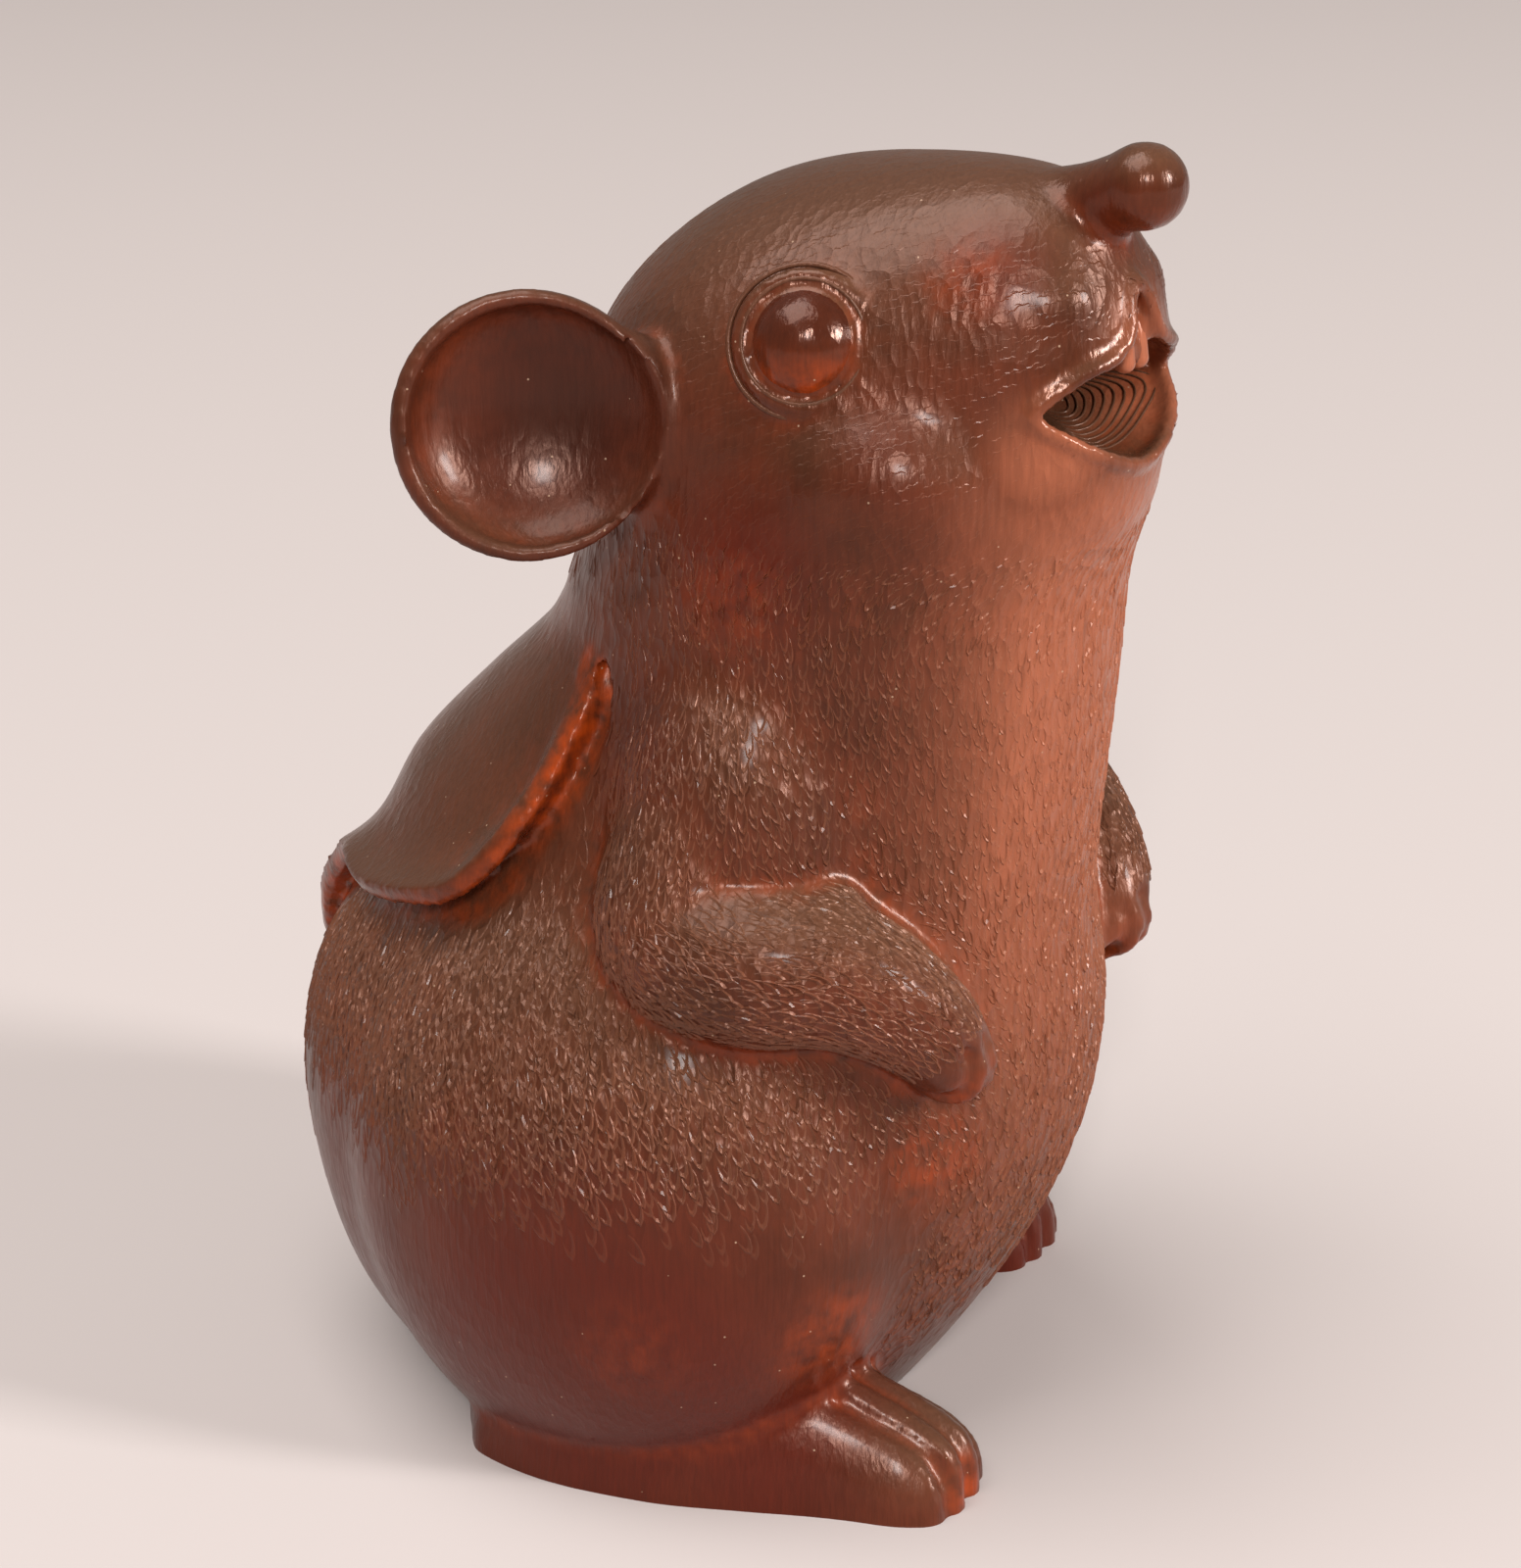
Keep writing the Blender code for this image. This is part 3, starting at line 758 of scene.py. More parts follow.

# Places of deep red, partly the nose's and snout's own, partly painted shade low down, under the arm and
# cheek and in the ear: centre, radius, strength
DEEP_RED_AND_SHADE_ON_HEAD = [
    ((-16.5, -9.0, 71.0), 9.5, 1.0),
    ((-14.0, -18.0, 80.0), 6.0, 0.55),
    ((-9.0, -23.0, 92.5), 6.0, 0.7),
    ((-22.0, 4.5, 80.0), 9.5, 1.0),
    ((0.0, -27.0, 95.6), 5.0, 0.6),
]
DEEP_RED_AND_SHADE_ON_BODY = [
    ((-27.0, 2.0, 12.0), 24.0, 1.5),
    ((-20.0, 20.0, 12.0), 20.0, 1.2),
    ((-19.0, -8.0, 4.0), 15.0, 1.3),
    ((-20.5, -7.0, 39.0), 6.5, 1.0),
    ((-19.0, 0.0, 58.0), 8.0, 0.5),
    ((-15.0, -19.0, 36.0), 5.0, 0.7),
]

# Recesses: how many times the skin is relaxed to find them, and the depth that counts in full
RECESS_REACH = 40
RECESS_DEPTH = 0.35

# Where the head's fur begins, and how far the chest's reaches: depth, side, height
HEAD_FROM = 72.0
CHEST_REACH = (-6.0, -17.0, 46.0)

# The bare toes: depth of the right and of the left foot's, height
TOES_RIGHT = -18.0
TOES_LEFT = -8.0
TOES_TOP = 9.0

# Where a mark begins and where it is full. By height: the fur of the flanks, of the whole body and
# of the crown, the rubbed front from below and from above, the lower relief of the upper body, the
# head's strokes and the body's hooks. Across: the flanks. From the flap's edge: the fur beside it
FLANK_FUR = (21.0, 30.0)
BODY_FUR = (3.0, 16.0)
CROWN_FUR = (91.0, 95.0)
FRONT_FROM = (8.0, 53.0)
FRONT_TO = (81.0, 75.0)
UPPER_RELIEF = (46.0, 58.0)
STROKES_FROM = (62.0, 71.0)
HOOKS_TO = (73.0, 64.0)
FLANK_SIDE = (12.0, 16.0)
RIM_FUR = (1.6, 3.1)


def numbers_of(items, key, size):
    """One property of every vertex, edge or face as an array."""
    values = np.empty(len(items) * size, np.float64 if key != "vertices" else np.int64)
    items.foreach_get(key, values)
    return values.reshape(-1, size)


def relaxed(points, edges, rounds):
    """The points after each has moved to the middle of its neighbours that many times."""
    count = np.bincount(edges.ravel(), minlength=len(points))[:, None]
    for _ in range(rounds):
        total = np.zeros_like(points)
        for axis in range(3):
            total[:, axis] = np.bincount(edges[:, 0], points[edges[:, 1], axis], len(points))
            total[:, axis] += np.bincount(edges[:, 1], points[edges[:, 0], axis], len(points))
        points = 0.5 * points + 0.5 * total / count
    return points


def before_turn(points):
    """Points of the turned head, put back to where they were carved."""
    turn = math.radians(HEAD_TURN)
    across, along = points[:, 0], points[:, 1] - HEAD_PIVOT
    back = points.copy()
    back[:, 0] = across * math.cos(turn) - along * math.sin(turn)
    back[:, 1] = across * math.sin(turn) + along * math.cos(turn) + HEAD_PIVOT
    return back


def mirrored(points):
    right = points.copy()
    right[:, 0] = -np.abs(right[:, 0])
    return right


def near(points, centre, radius):
    """1 at the centre, falling smoothly to 0 at the radius."""
    away = np.linalg.norm(points - np.array(centre), axis=1) / radius
    return np.clip(1.0 - away * away, 0.0, 1.0) ** 2


def within(points, centre, radius):
    return np.linalg.norm(points - np.array(centre), axis=1) < radius


def fade(values, none, full):
    """0 where the values are at none or beyond it, 1 at full, straight in between."""
    return np.clip((values - none) / (full - none), 0.0, 1.0)


def strongest(points, places):
    """The strongest pull of any of the places, at each point."""
    pull = np.zeros(len(points))
    for centre, radius, strength in places:
        pull = np.maximum(pull, strength * near(points, centre, radius))
    return pull


def along_line(points, line):
    """For each point: distance to a line of places, and the line's direction there."""
    line = np.array(line)
    best = np.full(len(points), 1e9)
    heading = np.zeros_like(points)
    for start, end in zip(line, line[1:]):
        step = end - start
        share = np.clip(((points - start) @ step) / (step @ step), 0.0, 1.0)
        away = np.linalg.norm(points - (start + share[:, None] * step), axis=1)
        closer = away < best
        best[closer] = away[closer]
        heading[closer] = step / np.linalg.norm(step)
    return best, heading


def inside_outline(across, height, outline):
    """Whether points lie inside an outline, by counting the sides that they pass under."""
    inside = np.zeros(len(across), bool)
    for (x0, z0), (x1, z1) in zip(outline, outline[1:] + outline[:1]):
        between = (x0 > across) != (x1 > across)
        reach = z0 + (z1 - z0) * (across - x0) / np.where(x1 == x0, 1e-9, x1 - x0)
        inside ^= between & (height < reach)
    return inside


def on_flap(points):
    """Which points lie on the outer side of the flap."""
    heights = np.linspace(20.0, 70.0, 51)
    rows = np.array([row_at(TRUNK, height) for height in heights])
    depth, half_width, half_depth = [np.interp(points[:, 2], heights, rows[:, k]) for k in (1, 2, 3)]
    angle = np.degrees(np.arctan2(np.abs(points[:, 0]) / half_width, (points[:, 1] - depth) / half_depth))
    reach = np.hypot(points[:, 0] / half_width, (points[:, 1] - depth) / half_depth)
    edge = flap_edge()
    outline = [(-1.0, FLAP_TOP)] + [(-1.0, edge[0][1])] + [tuple(row) for row in edge]
    outline += [(edge[-1][0] * FLAP_ROOT_SPREAD, FLAP_TOP)]
    return inside_outline(angle, points[:, 2], outline) & (reach > 0.93)


def flow_of_fur(points):
    """The way the fur lies at each point: back over the head, down the body, out along the limbs."""
    right = mirrored(points)
    headed = mirrored(before_turn(points))
    flow = np.zeros_like(points)
    body = np.array((0.0, -0.22, -1.0))
    head_way = np.array((-0.12, 1.0, -0.45))
    on_head = 1.0 / (1.0 + np.exp(-(headed[:, 2] - HEAD_FROM - 0.35 * (headed[:, 1] + 10.0)) / 2.5))
    flow += (1.0 - on_head)[:, None] * body + on_head[:, None] * head_way
    haunch = near(right, (-24.0, 2.0, 22.0), 24.0)
    flow += haunch[:, None] * np.array((0.0, -0.35, -0.3))
    away, heading = along_line(right, [row[:3] for row in ARM])
    arm = np.clip(1.0 - (away - 6.0) / 2.5, 0.0, 1.0) * (right[:, 0] < -9.0)
    flow = flow * (1.0 - arm)[:, None] + heading * arm[:, None]
    low = fade(right[:, 2], 11.0, 8.0) * (right[:, 0] < -9.0) * (right[:, 1] < 4.0)
    flow = flow * (1.0 - low)[:, None] + np.array((0.0, -1.0, -0.35)) * low[:, None]
    flow[:, 0] *= np.where(points[:, 0] > 0.0, -1.0, 1.0)
    return flow / np.linalg.norm(flow, axis=1)[:, None]


def mark_surface(piece):
    """Stores on the skin where it is furred and how, where it is warm, pale or polished, and where light and
    shade are painted.
    """
    mesh = piece.data
    points = numbers_of(mesh.vertices, "co", 3) / UNIT
    edges = numbers_of(mesh.edges, "vertices", 2)
    normals = np.array([tuple(corner.vector) for corner in mesh.vertex_normals])
    height = points[:, 2]
    right = mirrored(points)
    headed = mirrored(before_turn(points))
    hollow = ((relaxed(points, edges, RECESS_REACH) - points) * normals).sum(axis=1)
    recess = np.clip(hollow / RECESS_DEPTH, 0.0, 1.0)

    facing = np.array(EAR_FACING) / np.linalg.norm(EAR_FACING)
    ear = within(headed, EAR_CENTRE, EAR_RADIUS + 1.6)
    dish = ear & ((headed - np.array(EAR_CENTRE)) @ facing > -1.5)
    bare = dish | on_flap(points) | (height < 0.6)
    polish = np.where(on_flap(points), 0.3, 0.0) - 0.5 * dish
    for centre, radius in BARE_ON_HEAD:
        spot = within(headed, centre, radius)
        bare |= spot
        polish = np.where(spot, 0.9, polish)
    paw = within(right, ARM[-1][:3], 4.4)
    toes = (right[:, 1] < TOES_RIGHT) & (height < TOES_TOP) & (points[:, 0] < 0.0)
    toes |= (right[:, 1] < TOES_LEFT) & (height < TOES_TOP) & (points[:, 0] > 0.0)
    bare |= paw | toes | within(headed, EAR_CENTRE, EAR_RADIUS + 1.0)
    fur = np.where(bare, 0.0, 1.0) * (1.0 - 0.9 * np.clip(recess * 1.5 - 0.5, 0.0, 1.0))

    rim = [on_trunk(angle, level, flap_offset(1.0, level) - 0.8) for angle, level in flap_edge(6.0)]
    away, _ = along_line(right, rim)
    fur *= fade(away, *RIM_FUR)
    fur *= 1.0 - fade(np.abs(right[:, 0]), *FLANK_SIDE) * (1.0 - fade(height, *FLANK_FUR))
    fur *= 1.0 - strongest(right, SPARSE_ON_BODY)
    fur *= fade(height, *BODY_FUR)
    fur *= 1.0 - 0.75 * fade(height, *CROWN_FUR)
    # Painted sheen: the more the skin faces up, the more it takes a greyish sheen, as if lit from above
    top = np.clip(normals[:, 2] * 1.5 - 0.2, 0.0, 1.0)
    shade = strongest(headed, SHADE_ON_HEAD)
    band = np.clip(1.7 - away / 1.3, 0.0, 1.0)
    glow = np.maximum(0.35 * recess, band)
    glow = np.maximum(glow, strongest(headed, GLOW_ON_HEAD))
    glow = np.maximum(glow, strongest(right, GLOW_ON_BODY))
    # Deep red: partly the nose's own colour, partly painted shade low on the body, under the arm and cheek
    # and in the ear
    deep_red_and_shade = np.maximum(strongest(headed, DEEP_RED_AND_SHADE_ON_HEAD), strongest(right, DEEP_RED_AND_SHADE_ON_BODY)).clip(0.0, 1.0)
    # Pale: the chest's own paler colour, and painted light on surfaces that face the front, paler the more
    # they face it
    front = np.clip(-normals[:, 1] * 1.6 - 0.35, 0.0, 1.0)
    front = front * np.clip(2.0 - np.abs(right[:, 0]) / 8.5, 0.0, 1.0)
    pale = front * fade(height, *FRONT_FROM) * fade(height, *FRONT_TO)
    pale = np.maximum(0.85 * pale, strongest(headed, PALE_ON_HEAD)).clip(0.0, 1.0)

    on_head = headed[:, 2] > HEAD_FROM
    size = 0.8 + 0.3 * near(right, (-22.0, 10.0, 36.0), 30.0) - 0.18 * on_head - 0.12 * pale
    lift = fur * (1.0 - 0.5 * on_head - 0.3 * fade(height, *UPPER_RELIEF))
    depth, side, above = CHEST_REACH
    chest = (right[:, 1] < depth) & (right[:, 0] > side) | (height > above)
    hooks = fade(headed[:, 2], *HOOKS_TO)
    marks = {
        "fur_head": fur * fade(headed[:, 2], *STROKES_FROM),
        "fur_front": fur * chest * hooks,
        "fur_flanks": fur * ~chest * hooks,
        "rise": lift,
        "glow": glow,
        "deep_red_and_shade": deep_red_and_shade,
        "pale": pale,
        "polish": polish,
        "size": size,
        "top": top,
        "shade": shade,
    }
    for name, values in marks.items():
        mesh.attributes.new(name, "FLOAT", "POINT").data.foreach_set("value", values.astype(np.float32))
    flow = flow_of_fur(points).astype(np.float32).ravel()
    mesh.attributes.new("flow", "FLOAT_VECTOR", "POINT").data.foreach_set("vector", flow)


def linear(hex_colour):
    """An sRGB hex colour as linear red, green, blue, alpha."""
    channels = [int(hex_colour[k:k + 2], 16) / 255.0 for k in (1, 3, 5)]
    return [c / 12.92 if c <= 0.04045 else ((c + 0.055) / 1.055) ** 2.4 for c in channels] + [1.0]


def add_node(tree, kind, settings=None, inputs=None):
    """Adds a node, sets its properties, and sets or links its inputs."""
    node = tree.nodes.new(kind)
    for key, value in (settings or {}).items():
        setattr(node, key, value)
    for key, value in (inputs or {}).items():
        if isinstance(value, bpy.types.NodeSocket):
            tree.links.new(value, node.inputs[key])
        else:
            node.inputs[key].default_value = value
    return node


def mixed(tree, share, first, second, blend="MIX"):
    """Colour between two colours or sockets."""
    settings = {"data_type": "RGBA", "blend_type": blend}
    return add_node(tree, "ShaderNodeMix", settings, {0: share, 6: first, 7: second}).outputs[2]


def maths(tree, kind, *values, clamp=False):
    inputs = dict(enumerate(values))
    return add_node(tree, "ShaderNodeMath", {"operation": kind, "use_clamp": clamp}, inputs).outputs[0]


def noise(tree, place, scale, detail, roughness=0.5):
    values = {"Vector": place, "Scale": scale, "Detail": detail, "Roughness": roughness}
    return add_node(tree, "ShaderNodeTexNoise", {}, values).outputs


def stored(tree, name, kind="FLOAT"):
    """What the skin stores under a name, read by geometry nodes."""
    return add_node(tree, "GeometryNodeInputNamedAttribute", {"data_type": kind}, {"Name": name}).outputs[0]


def chance(tree, low, high, seed):
    """A random number between low and high."""
    node = add_node(tree, "FunctionNodeRandomValue", {"data_type": "FLOAT"}, {2: low, 3: high, "Seed": seed})
    return node.outputs[1]


def stained_boxwood(colours):
    """Boxwood, stained and rubbed with wax: dark where the stain lies thick, glowing where it is thin, with
    painted shade, sheen, highlights and front light.
    """
    material = bpy.data.materials.new("boxwood_stained_and_waxed")
    material.use_nodes = True
    tree = material.node_tree
    shader = tree.nodes["Principled BSDF"]
    place = add_node(tree, "ShaderNodeTexCoord").outputs["Object"]
    marks = {}
    for name in ("glow", "deep_red_and_shade", "pale", "shade", "top", "polish", "ridge_highlight", "rise"):
        marks[name] = add_node(tree, "ShaderNodeAttribute", {"attribute_name": name}).outputs["Fac"]
    # Stain pools in clouds about 8 mm across, broken up by spots of 1.5 mm
    cloud = noise(tree, place, 125.0, 4.0, 0.6)
    spots = noise(tree, place, 650.0, 3.0)
    # Grain runs up the block: pores 0.3 mm wide and 5 mm long
    stretch = add_node(tree, "ShaderNodeMapping", {}, {"Vector": place, "Scale": (3300.0, 3300.0, 200.0)})
    grain = noise(tree, stretch.outputs[0], 1.0, 2.0)
    tone = maths(tree, "MULTIPLY_ADD", cloud["Fac"], 2.2, -0.6, clamp=True)
    broken = maths(tree, "MULTIPLY_ADD", spots["Fac"], 2.6, -0.8, clamp=True)
    base = mixed(tree, tone, linear(colours.dark), linear(colours.stain))
    # Painted sheen: tops take a greyish colour, as if lit from above
    base = mixed(tree, maths(tree, "MULTIPLY", marks["top"], 0.85), base, linear(colours.top_sheen))
    # Pale: rubbed chest and lips, with painted light on surfaces that face the front
    base = mixed(tree, marks["pale"], base, linear(colours.pale))
    # Deep red, partly painted shade low down, under the arm and cheek and in the ear
    base = mixed(tree, maths(tree, "MULTIPLY", marks["deep_red_and_shade"], 0.92), base, linear(colours.deep_red_and_shade))
    base = mixed(tree, maths(tree, "MULTIPLY", marks["glow"], broken, clamp=True), base, linear(colours.glow))
    # Painted shade in the ear dishes, in the mouth and on the upper halves of the eyes
    base = mixed(tree, maths(tree, "MULTIPLY", marks["shade"], 0.85), base, linear(colours.shade))
    # Painted highlight: the fur cuts turn paler the higher they rise, as if their ridges caught the light
    edge = maths(tree, "MULTIPLY", marks["ridge_highlight"], maths(tree, "MULTIPLY", marks["rise"], 0.2))
    base = mixed(tree, edge, base, linear(colours.ridge_highlight))
    streak = maths(tree, "MULTIPLY_ADD", grain["Fac"], 1.0, 0.5)
    streak_colour = add_node(tree, "ShaderNodeCombineColor", {}, {0: streak, 1: streak, 2: streak}).outputs[0]
    base = mixed(tree, 0.5, base, streak_colour, "MULTIPLY")
    # Pale dust specks about 0.15 mm across, a few in each square centimetre
    speck = add_node(tree, "ShaderNodeTexVoronoi", {}, {"Vector": place, "Scale": 850.0})
    split = add_node(tree, "ShaderNodeSeparateColor", {}, {0: speck.outputs["Color"]})
    is_speck = maths(tree, "LESS_THAN", speck.outputs["Distance"], 0.07)
    is_speck = maths(tree, "MULTIPLY", is_speck, maths(tree, "GREATER_THAN", split.outputs[0], 0.75))
    base = mixed(tree, maths(tree, "MULTIPLY", is_speck, 0.55), base, linear(colours.speck))
    tree.links.new(base, shader.inputs["Base Color"])
    rough = maths(tree, "MULTIPLY_ADD", spots["Fac"], 0.2, 0.23)
    rough = maths(tree, "MULTIPLY_ADD", marks["polish"], -0.12, rough)
    tree.links.new(rough, shader.inputs["Roughness"])
    shader.inputs["IOR"].default_value = 1.42
    shader.inputs["Specular Tint"].default_value = linear(colours.sheen)
    shader.inputs["Coat Weight"].default_value = 0.1
    shader.inputs["Coat Roughness"].default_value = 0.15
    # Gouge scoops about 0.9 mm wide and 2 mm long, hollow in the middle, with crisp borders
    sway = noise(tree, place, 300.0, 1.0)
    swayed = add_node(tree, "ShaderNodeVectorMath", {"operation": "MULTIPLY_ADD"}, {
        0: sway["Color"], 1: (0.0018, 0.0018, 0.0018), 2: place})
    scoop_place = add_node(tree, "ShaderNodeMapping", {}, {
        "Vector": swayed.outputs[0], "Rotation": (0.0, 0.25, 0.0), "Scale": (1150.0, 1150.0, 480.0)})
    scoop = add_node(tree, "ShaderNodeTexVoronoi", {}, {"Vector": scoop_place.outputs[0], "Scale": 1.0})
    hollow = maths(tree, "MULTIPLY", scoop.outputs["Distance"], scoop.outputs["Distance"])
    hollow = maths(tree, "MULTIPLY", hollow, maths(tree, "MULTIPLY_ADD", marks["rise"], 0.85, 0.15))
    scoops = add_node(tree, "ShaderNodeBump", {}, {"Height": hollow, "Strength": 0.9, "Distance": 0.00034})
    relief = maths(tree, "MULTIPLY_ADD", spots["Fac"], 0.6, grain["Fac"])
    bump = add_node(tree, "ShaderNodeBump", {}, {
        "Height": relief, "Strength": 0.4, "Distance": 0.0001, "Normal": scoops.outputs[0]})
    tree.links.new(bump.outputs[0], shader.inputs["Normal"])
    return material


# Crest of the ridge left between gouge cuts, a hook seen from above: along, across, height
HOOK = [
    (-0.62, 0.3, 0.0),
    (-0.3, 0.44, 0.5),
    (0.08, 0.43, 0.8),
    (0.4, 0.25, 1.0),
    (0.56, -0.02, 0.95),
    (0.42, -0.28, 0.7),
    (0.16, -0.4, 0.35),
    (-0.1, -0.43, 0.0),
]
# Crest of the short wavy ridge of finer fur
STROKE = [
    (-0.55, 0.1, 0.0),
    (-0.25, -0.12, 0.75),
    (0.05, 0.1, 1.0),
    (0.32, -0.08, 0.8),
    (0.6, 0.12, 0.0),
]
# Half width of the steep and of the long side of a ridge, and its depth in the wood
STEEP_SIDE = 0.15
LONG_SIDE = 0.3
RIDGE_ROOT = -0.9


def fur_cut(crest_line):
    """A thin ridge with a steep side and a long side, closed below."""
    shape = bmesh.new()
    rows = []
    for k, (along, across, height) in enumerate(crest_line):
        crest = shape.verts.new((along, across, height))
        if height == 0.0:
            rows.append((crest, crest, crest))
            continue
        before, after = crest_line[k - 1], crest_line[k + 1]
        square = Vector((before[1] - after[1], after[0] - before[0], 0.0)).normalized()
        outer = shape.verts.new(Vector((along, across, RIDGE_ROOT)) + square * STEEP_SIDE)
        inner = shape.verts.new(Vector((along, across, RIDGE_ROOT)) - square * LONG_SIDE)
        rows.append((crest, outer, inner))
    for before, after in zip(rows, rows[1:]):
        for k in range(3):
            corners = (before[k], before[k - 1], after[k - 1], after[k])
            distinct = list(dict.fromkeys(corners))
            if len(distinct) > 2:
                shape.faces.new(distinct)
    bmesh.ops.recalc_face_normals(shape, faces=shape.faces)
    mesh = bpy.data.meshes.new("fur cut")
    shape.to_mesh(mesh)
    shape.free()
    return add_piece("fur cut", mesh)


def fur_tree():
    """Nodes that scatter the cut over the furred skin, each turned the way the fur lies."""
    tree = bpy.data.node_groups.new("fur cuts", "GeometryNodeTree")
    face = tree.interface
    face.new_socket(name="Skin", in_out="INPUT", socket_type="NodeSocketGeometry")
    for name, kind in (("Region", "String"), ("Cut", "Object"), ("Spacing", "Float"), ("Length", "Float"),
                       ("Width", "Float"), ("Rise", "Float"), ("Seed", "Int"), ("Wood", "Material")):
        face.new_socket(name=name, in_out="INPUT", socket_type="NodeSocket" + kind)
    face.new_socket(name="Fur", in_out="OUTPUT", socket_type="NodeSocketGeometry")
    start = add_node(tree, "NodeGroupInput").outputs
    points = add_node(tree, "GeometryNodeDistributePointsOnFaces", {"distribute_method": "POISSON"}, {
        "Mesh": start["Skin"], "Distance Min": start["Spacing"], "Density Max": 5e7,
        "Density Factor": stored(tree, start["Region"]), "Seed": start["Seed"]})
    sway = add_node(tree, "FunctionNodeRandomValue", {"data_type": "FLOAT_VECTOR"}, {
        0: (-0.24, -0.24, -0.24), 1: (0.24, 0.24, 0.24), "Seed": start["Seed"]})
    way = add_node(tree, "ShaderNodeVectorMath", {"operation": "ADD"}, {
        0: stored(tree, "flow", "FLOAT_VECTOR"), 1: sway.outputs[0]})
    turn = add_node(tree, "FunctionNodeAlignRotationToVector", {"axis": "X", "pivot_axis": "Z"}, {
        "Rotation": points.outputs["Rotation"], "Vector": way.outputs[0]})
    grown = maths(tree, "MULTIPLY", stored(tree, "size"), chance(tree, 0.75, 1.25, start["Seed"]))
    sizes = [maths(tree, "MULTIPLY", grown, start[name]) for name in ("Length", "Width", "Rise")]
    lift = maths(tree, "MULTIPLY", stored(tree, "rise"), chance(tree, 0.35, 1.3, start["Seed"]))
    sizes[2] = maths(tree, "MULTIPLY", sizes[2], lift)
    scale = add_node(tree, "ShaderNodeCombineXYZ", {}, {0: sizes[0], 1: sizes[1], 2: sizes[2]})
    cut = add_node(tree, "GeometryNodeObjectInfo", {}, {"Object": start["Cut"]})
    laid = add_node(tree, "GeometryNodeInstanceOnPoints", {}, {
        "Points": points.outputs["Points"], "Instance": cut.outputs["Geometry"],
        "Rotation": turn.outputs[0], "Scale": scale.outputs[0]})
    real = add_node(tree, "GeometryNodeRealizeInstances", {}, {"Geometry": laid.outputs[0]})
    dressed = add_node(tree, "GeometryNodeSetMaterial", {}, {
        "Geometry": real.outputs[0], "Material": start["Wood"]})
    add_node(tree, "NodeGroupOutput", {}, {"Fur": dressed.outputs[0]})
    return tree


# Nested ridges on the floor of the mouth: how many, half thickness, step between them in depth and
# along the outline, first and last depth, places on the outline where they start and end
TONGUE_RIDGES = 10
TONGUE_RIDGE = 0.1
TONGUE_STEP = 0.5
TONGUE_OUTLINE_STEP = 0.52
TONGUE_FRONT = -27.2
TONGUE_BACK = -20.0
TONGUE_START = 40.6
TONGUE_END = 27.0


def mouth_place(depth, place):
    """A point on the wall of the mouth at a depth and at a place counted along its outline."""
    if depth < MOUTH_PLANE:
        share = (depth - MOUTH_PLANE) / (MOUTH_FRONT - MOUTH_PLANE)
        outline = mouth_ring(depth, 1.0 + share * (MOUTH_FLARE - 1.0))
    else:
        share = (depth - MOUTH_PLANE) / (MOUTH_BACK - MOUTH_PLANE)
        outline = mouth_ring(depth, 1.0 + share * (MOUTH_TAPER - 1.0))
    start = int(place)
    return Vector(outline[start]).lerp(Vector(outline[start + 1]), place - start)


def tongue_ridges():
    """Fine ridges nested inside one another on the floor of the mouth, open toward the throat."""
    pieces = []
    for k in range(TONGUE_RIDGES):
        front = TONGUE_FRONT + k * TONGUE_STEP
        high, low = TONGUE_START - k * TONGUE_OUTLINE_STEP, TONGUE_END + k * TONGUE_OUTLINE_STEP
        corners = [(TONGUE_BACK, high), (front + 1.2, high), (front, (high * 2.0 + low) / 3.0)]
        corners += [(front, (high + low * 2.0) / 3.0), (front + 1.2, low), (TONGUE_BACK, low)]
        line = [mouth_place(*corner) for corner in smooth_rows(corners, 4)]
        pieces += limb("tongue ridge", [(*place, TONGUE_RIDGE) for place in line])
    return pieces


def warm_below(heights):
    """Thin stain on the lower half of an eye ball."""
    return np.clip((87.5 - heights) / 4.0, 0.0, 1.5)


def dark_above(heights):
    """Painted shade on the upper half of an eye ball."""
    return np.clip((heights - 85.0) / 4.0, 0.0, 0.7)


# Thin scored edges of the lids: share of the lid's reach, step out, half thickness
LID_EDGES = ((0.95, 0.35, 0.2), (1.17, -0.15, 0.2))


def face_details():
    """Each crisp part of the face: name, its pieces before the head's turn, its marks."""
    eyes = both_sides([ball("eye", EYE_CENTRE, (EYE_RADIUS * 1.01,) * 3)])
    lids = []
    for share, step, half in LID_EDGES:
        middle = lid_centre() + Vector(EYE_FACING).normalized() * step
        lids.append(ring("lid edge", middle, EYE_FACING, (EYE_RADIUS + LID_GAP) * share, half))
    # The lid edges and tongue ridges take the painted top sheen; the eye balls take painted shade on their
    # upper halves
    return (
        ("eye_balls", eyes, {"polish": 1.0, "glow": warm_below, "shade": dark_above}),
        ("lid_edges", both_sides(lids), {"top": 0.8}),
        ("tooth_pair", both_sides(limb("tooth", TOOTH)), {"pale": 1.0}),
        ("tongue_ridges", tongue_ridges(), {"top": 1.0}),
    )


def set_inputs(modifier, values):
    """Sets a node modifier's inputs by the names shown in its tree."""
    for item in modifier.node_group.interface.items_tree:
        if item.in_out == "INPUT" and item.name in values:
            modifier[item.identifier] = values[item.name]


def length_setting(name, description, metres):
    return bpy.props.FloatProperty(name=name, description=description, default=metres, unit="LENGTH")


def colour_setting(name, description, value):
    return bpy.props.StringProperty(name=name, description=description, default=value)


class MousePreferences(bpy.types.PropertyGroup):
    """Sizes of the carving and its tool marks."""
    triangles: bpy.props.IntProperty(
        name="Triangles", description="Triangle goal for the carved form", default=180000)
    cut_spacing: length_setting("Cut spacing", "Least distance between two tufts", 0.00078)
    cut_length: length_setting("Cut length", "Length of a tuft on the flank", 0.0024)
    cut_width: length_setting("Cut width", "Width of a tuft on the flank", 0.00125)
    cut_rise: length_setting("Cut rise", "How far a tuft stands off the skin", 0.00014)


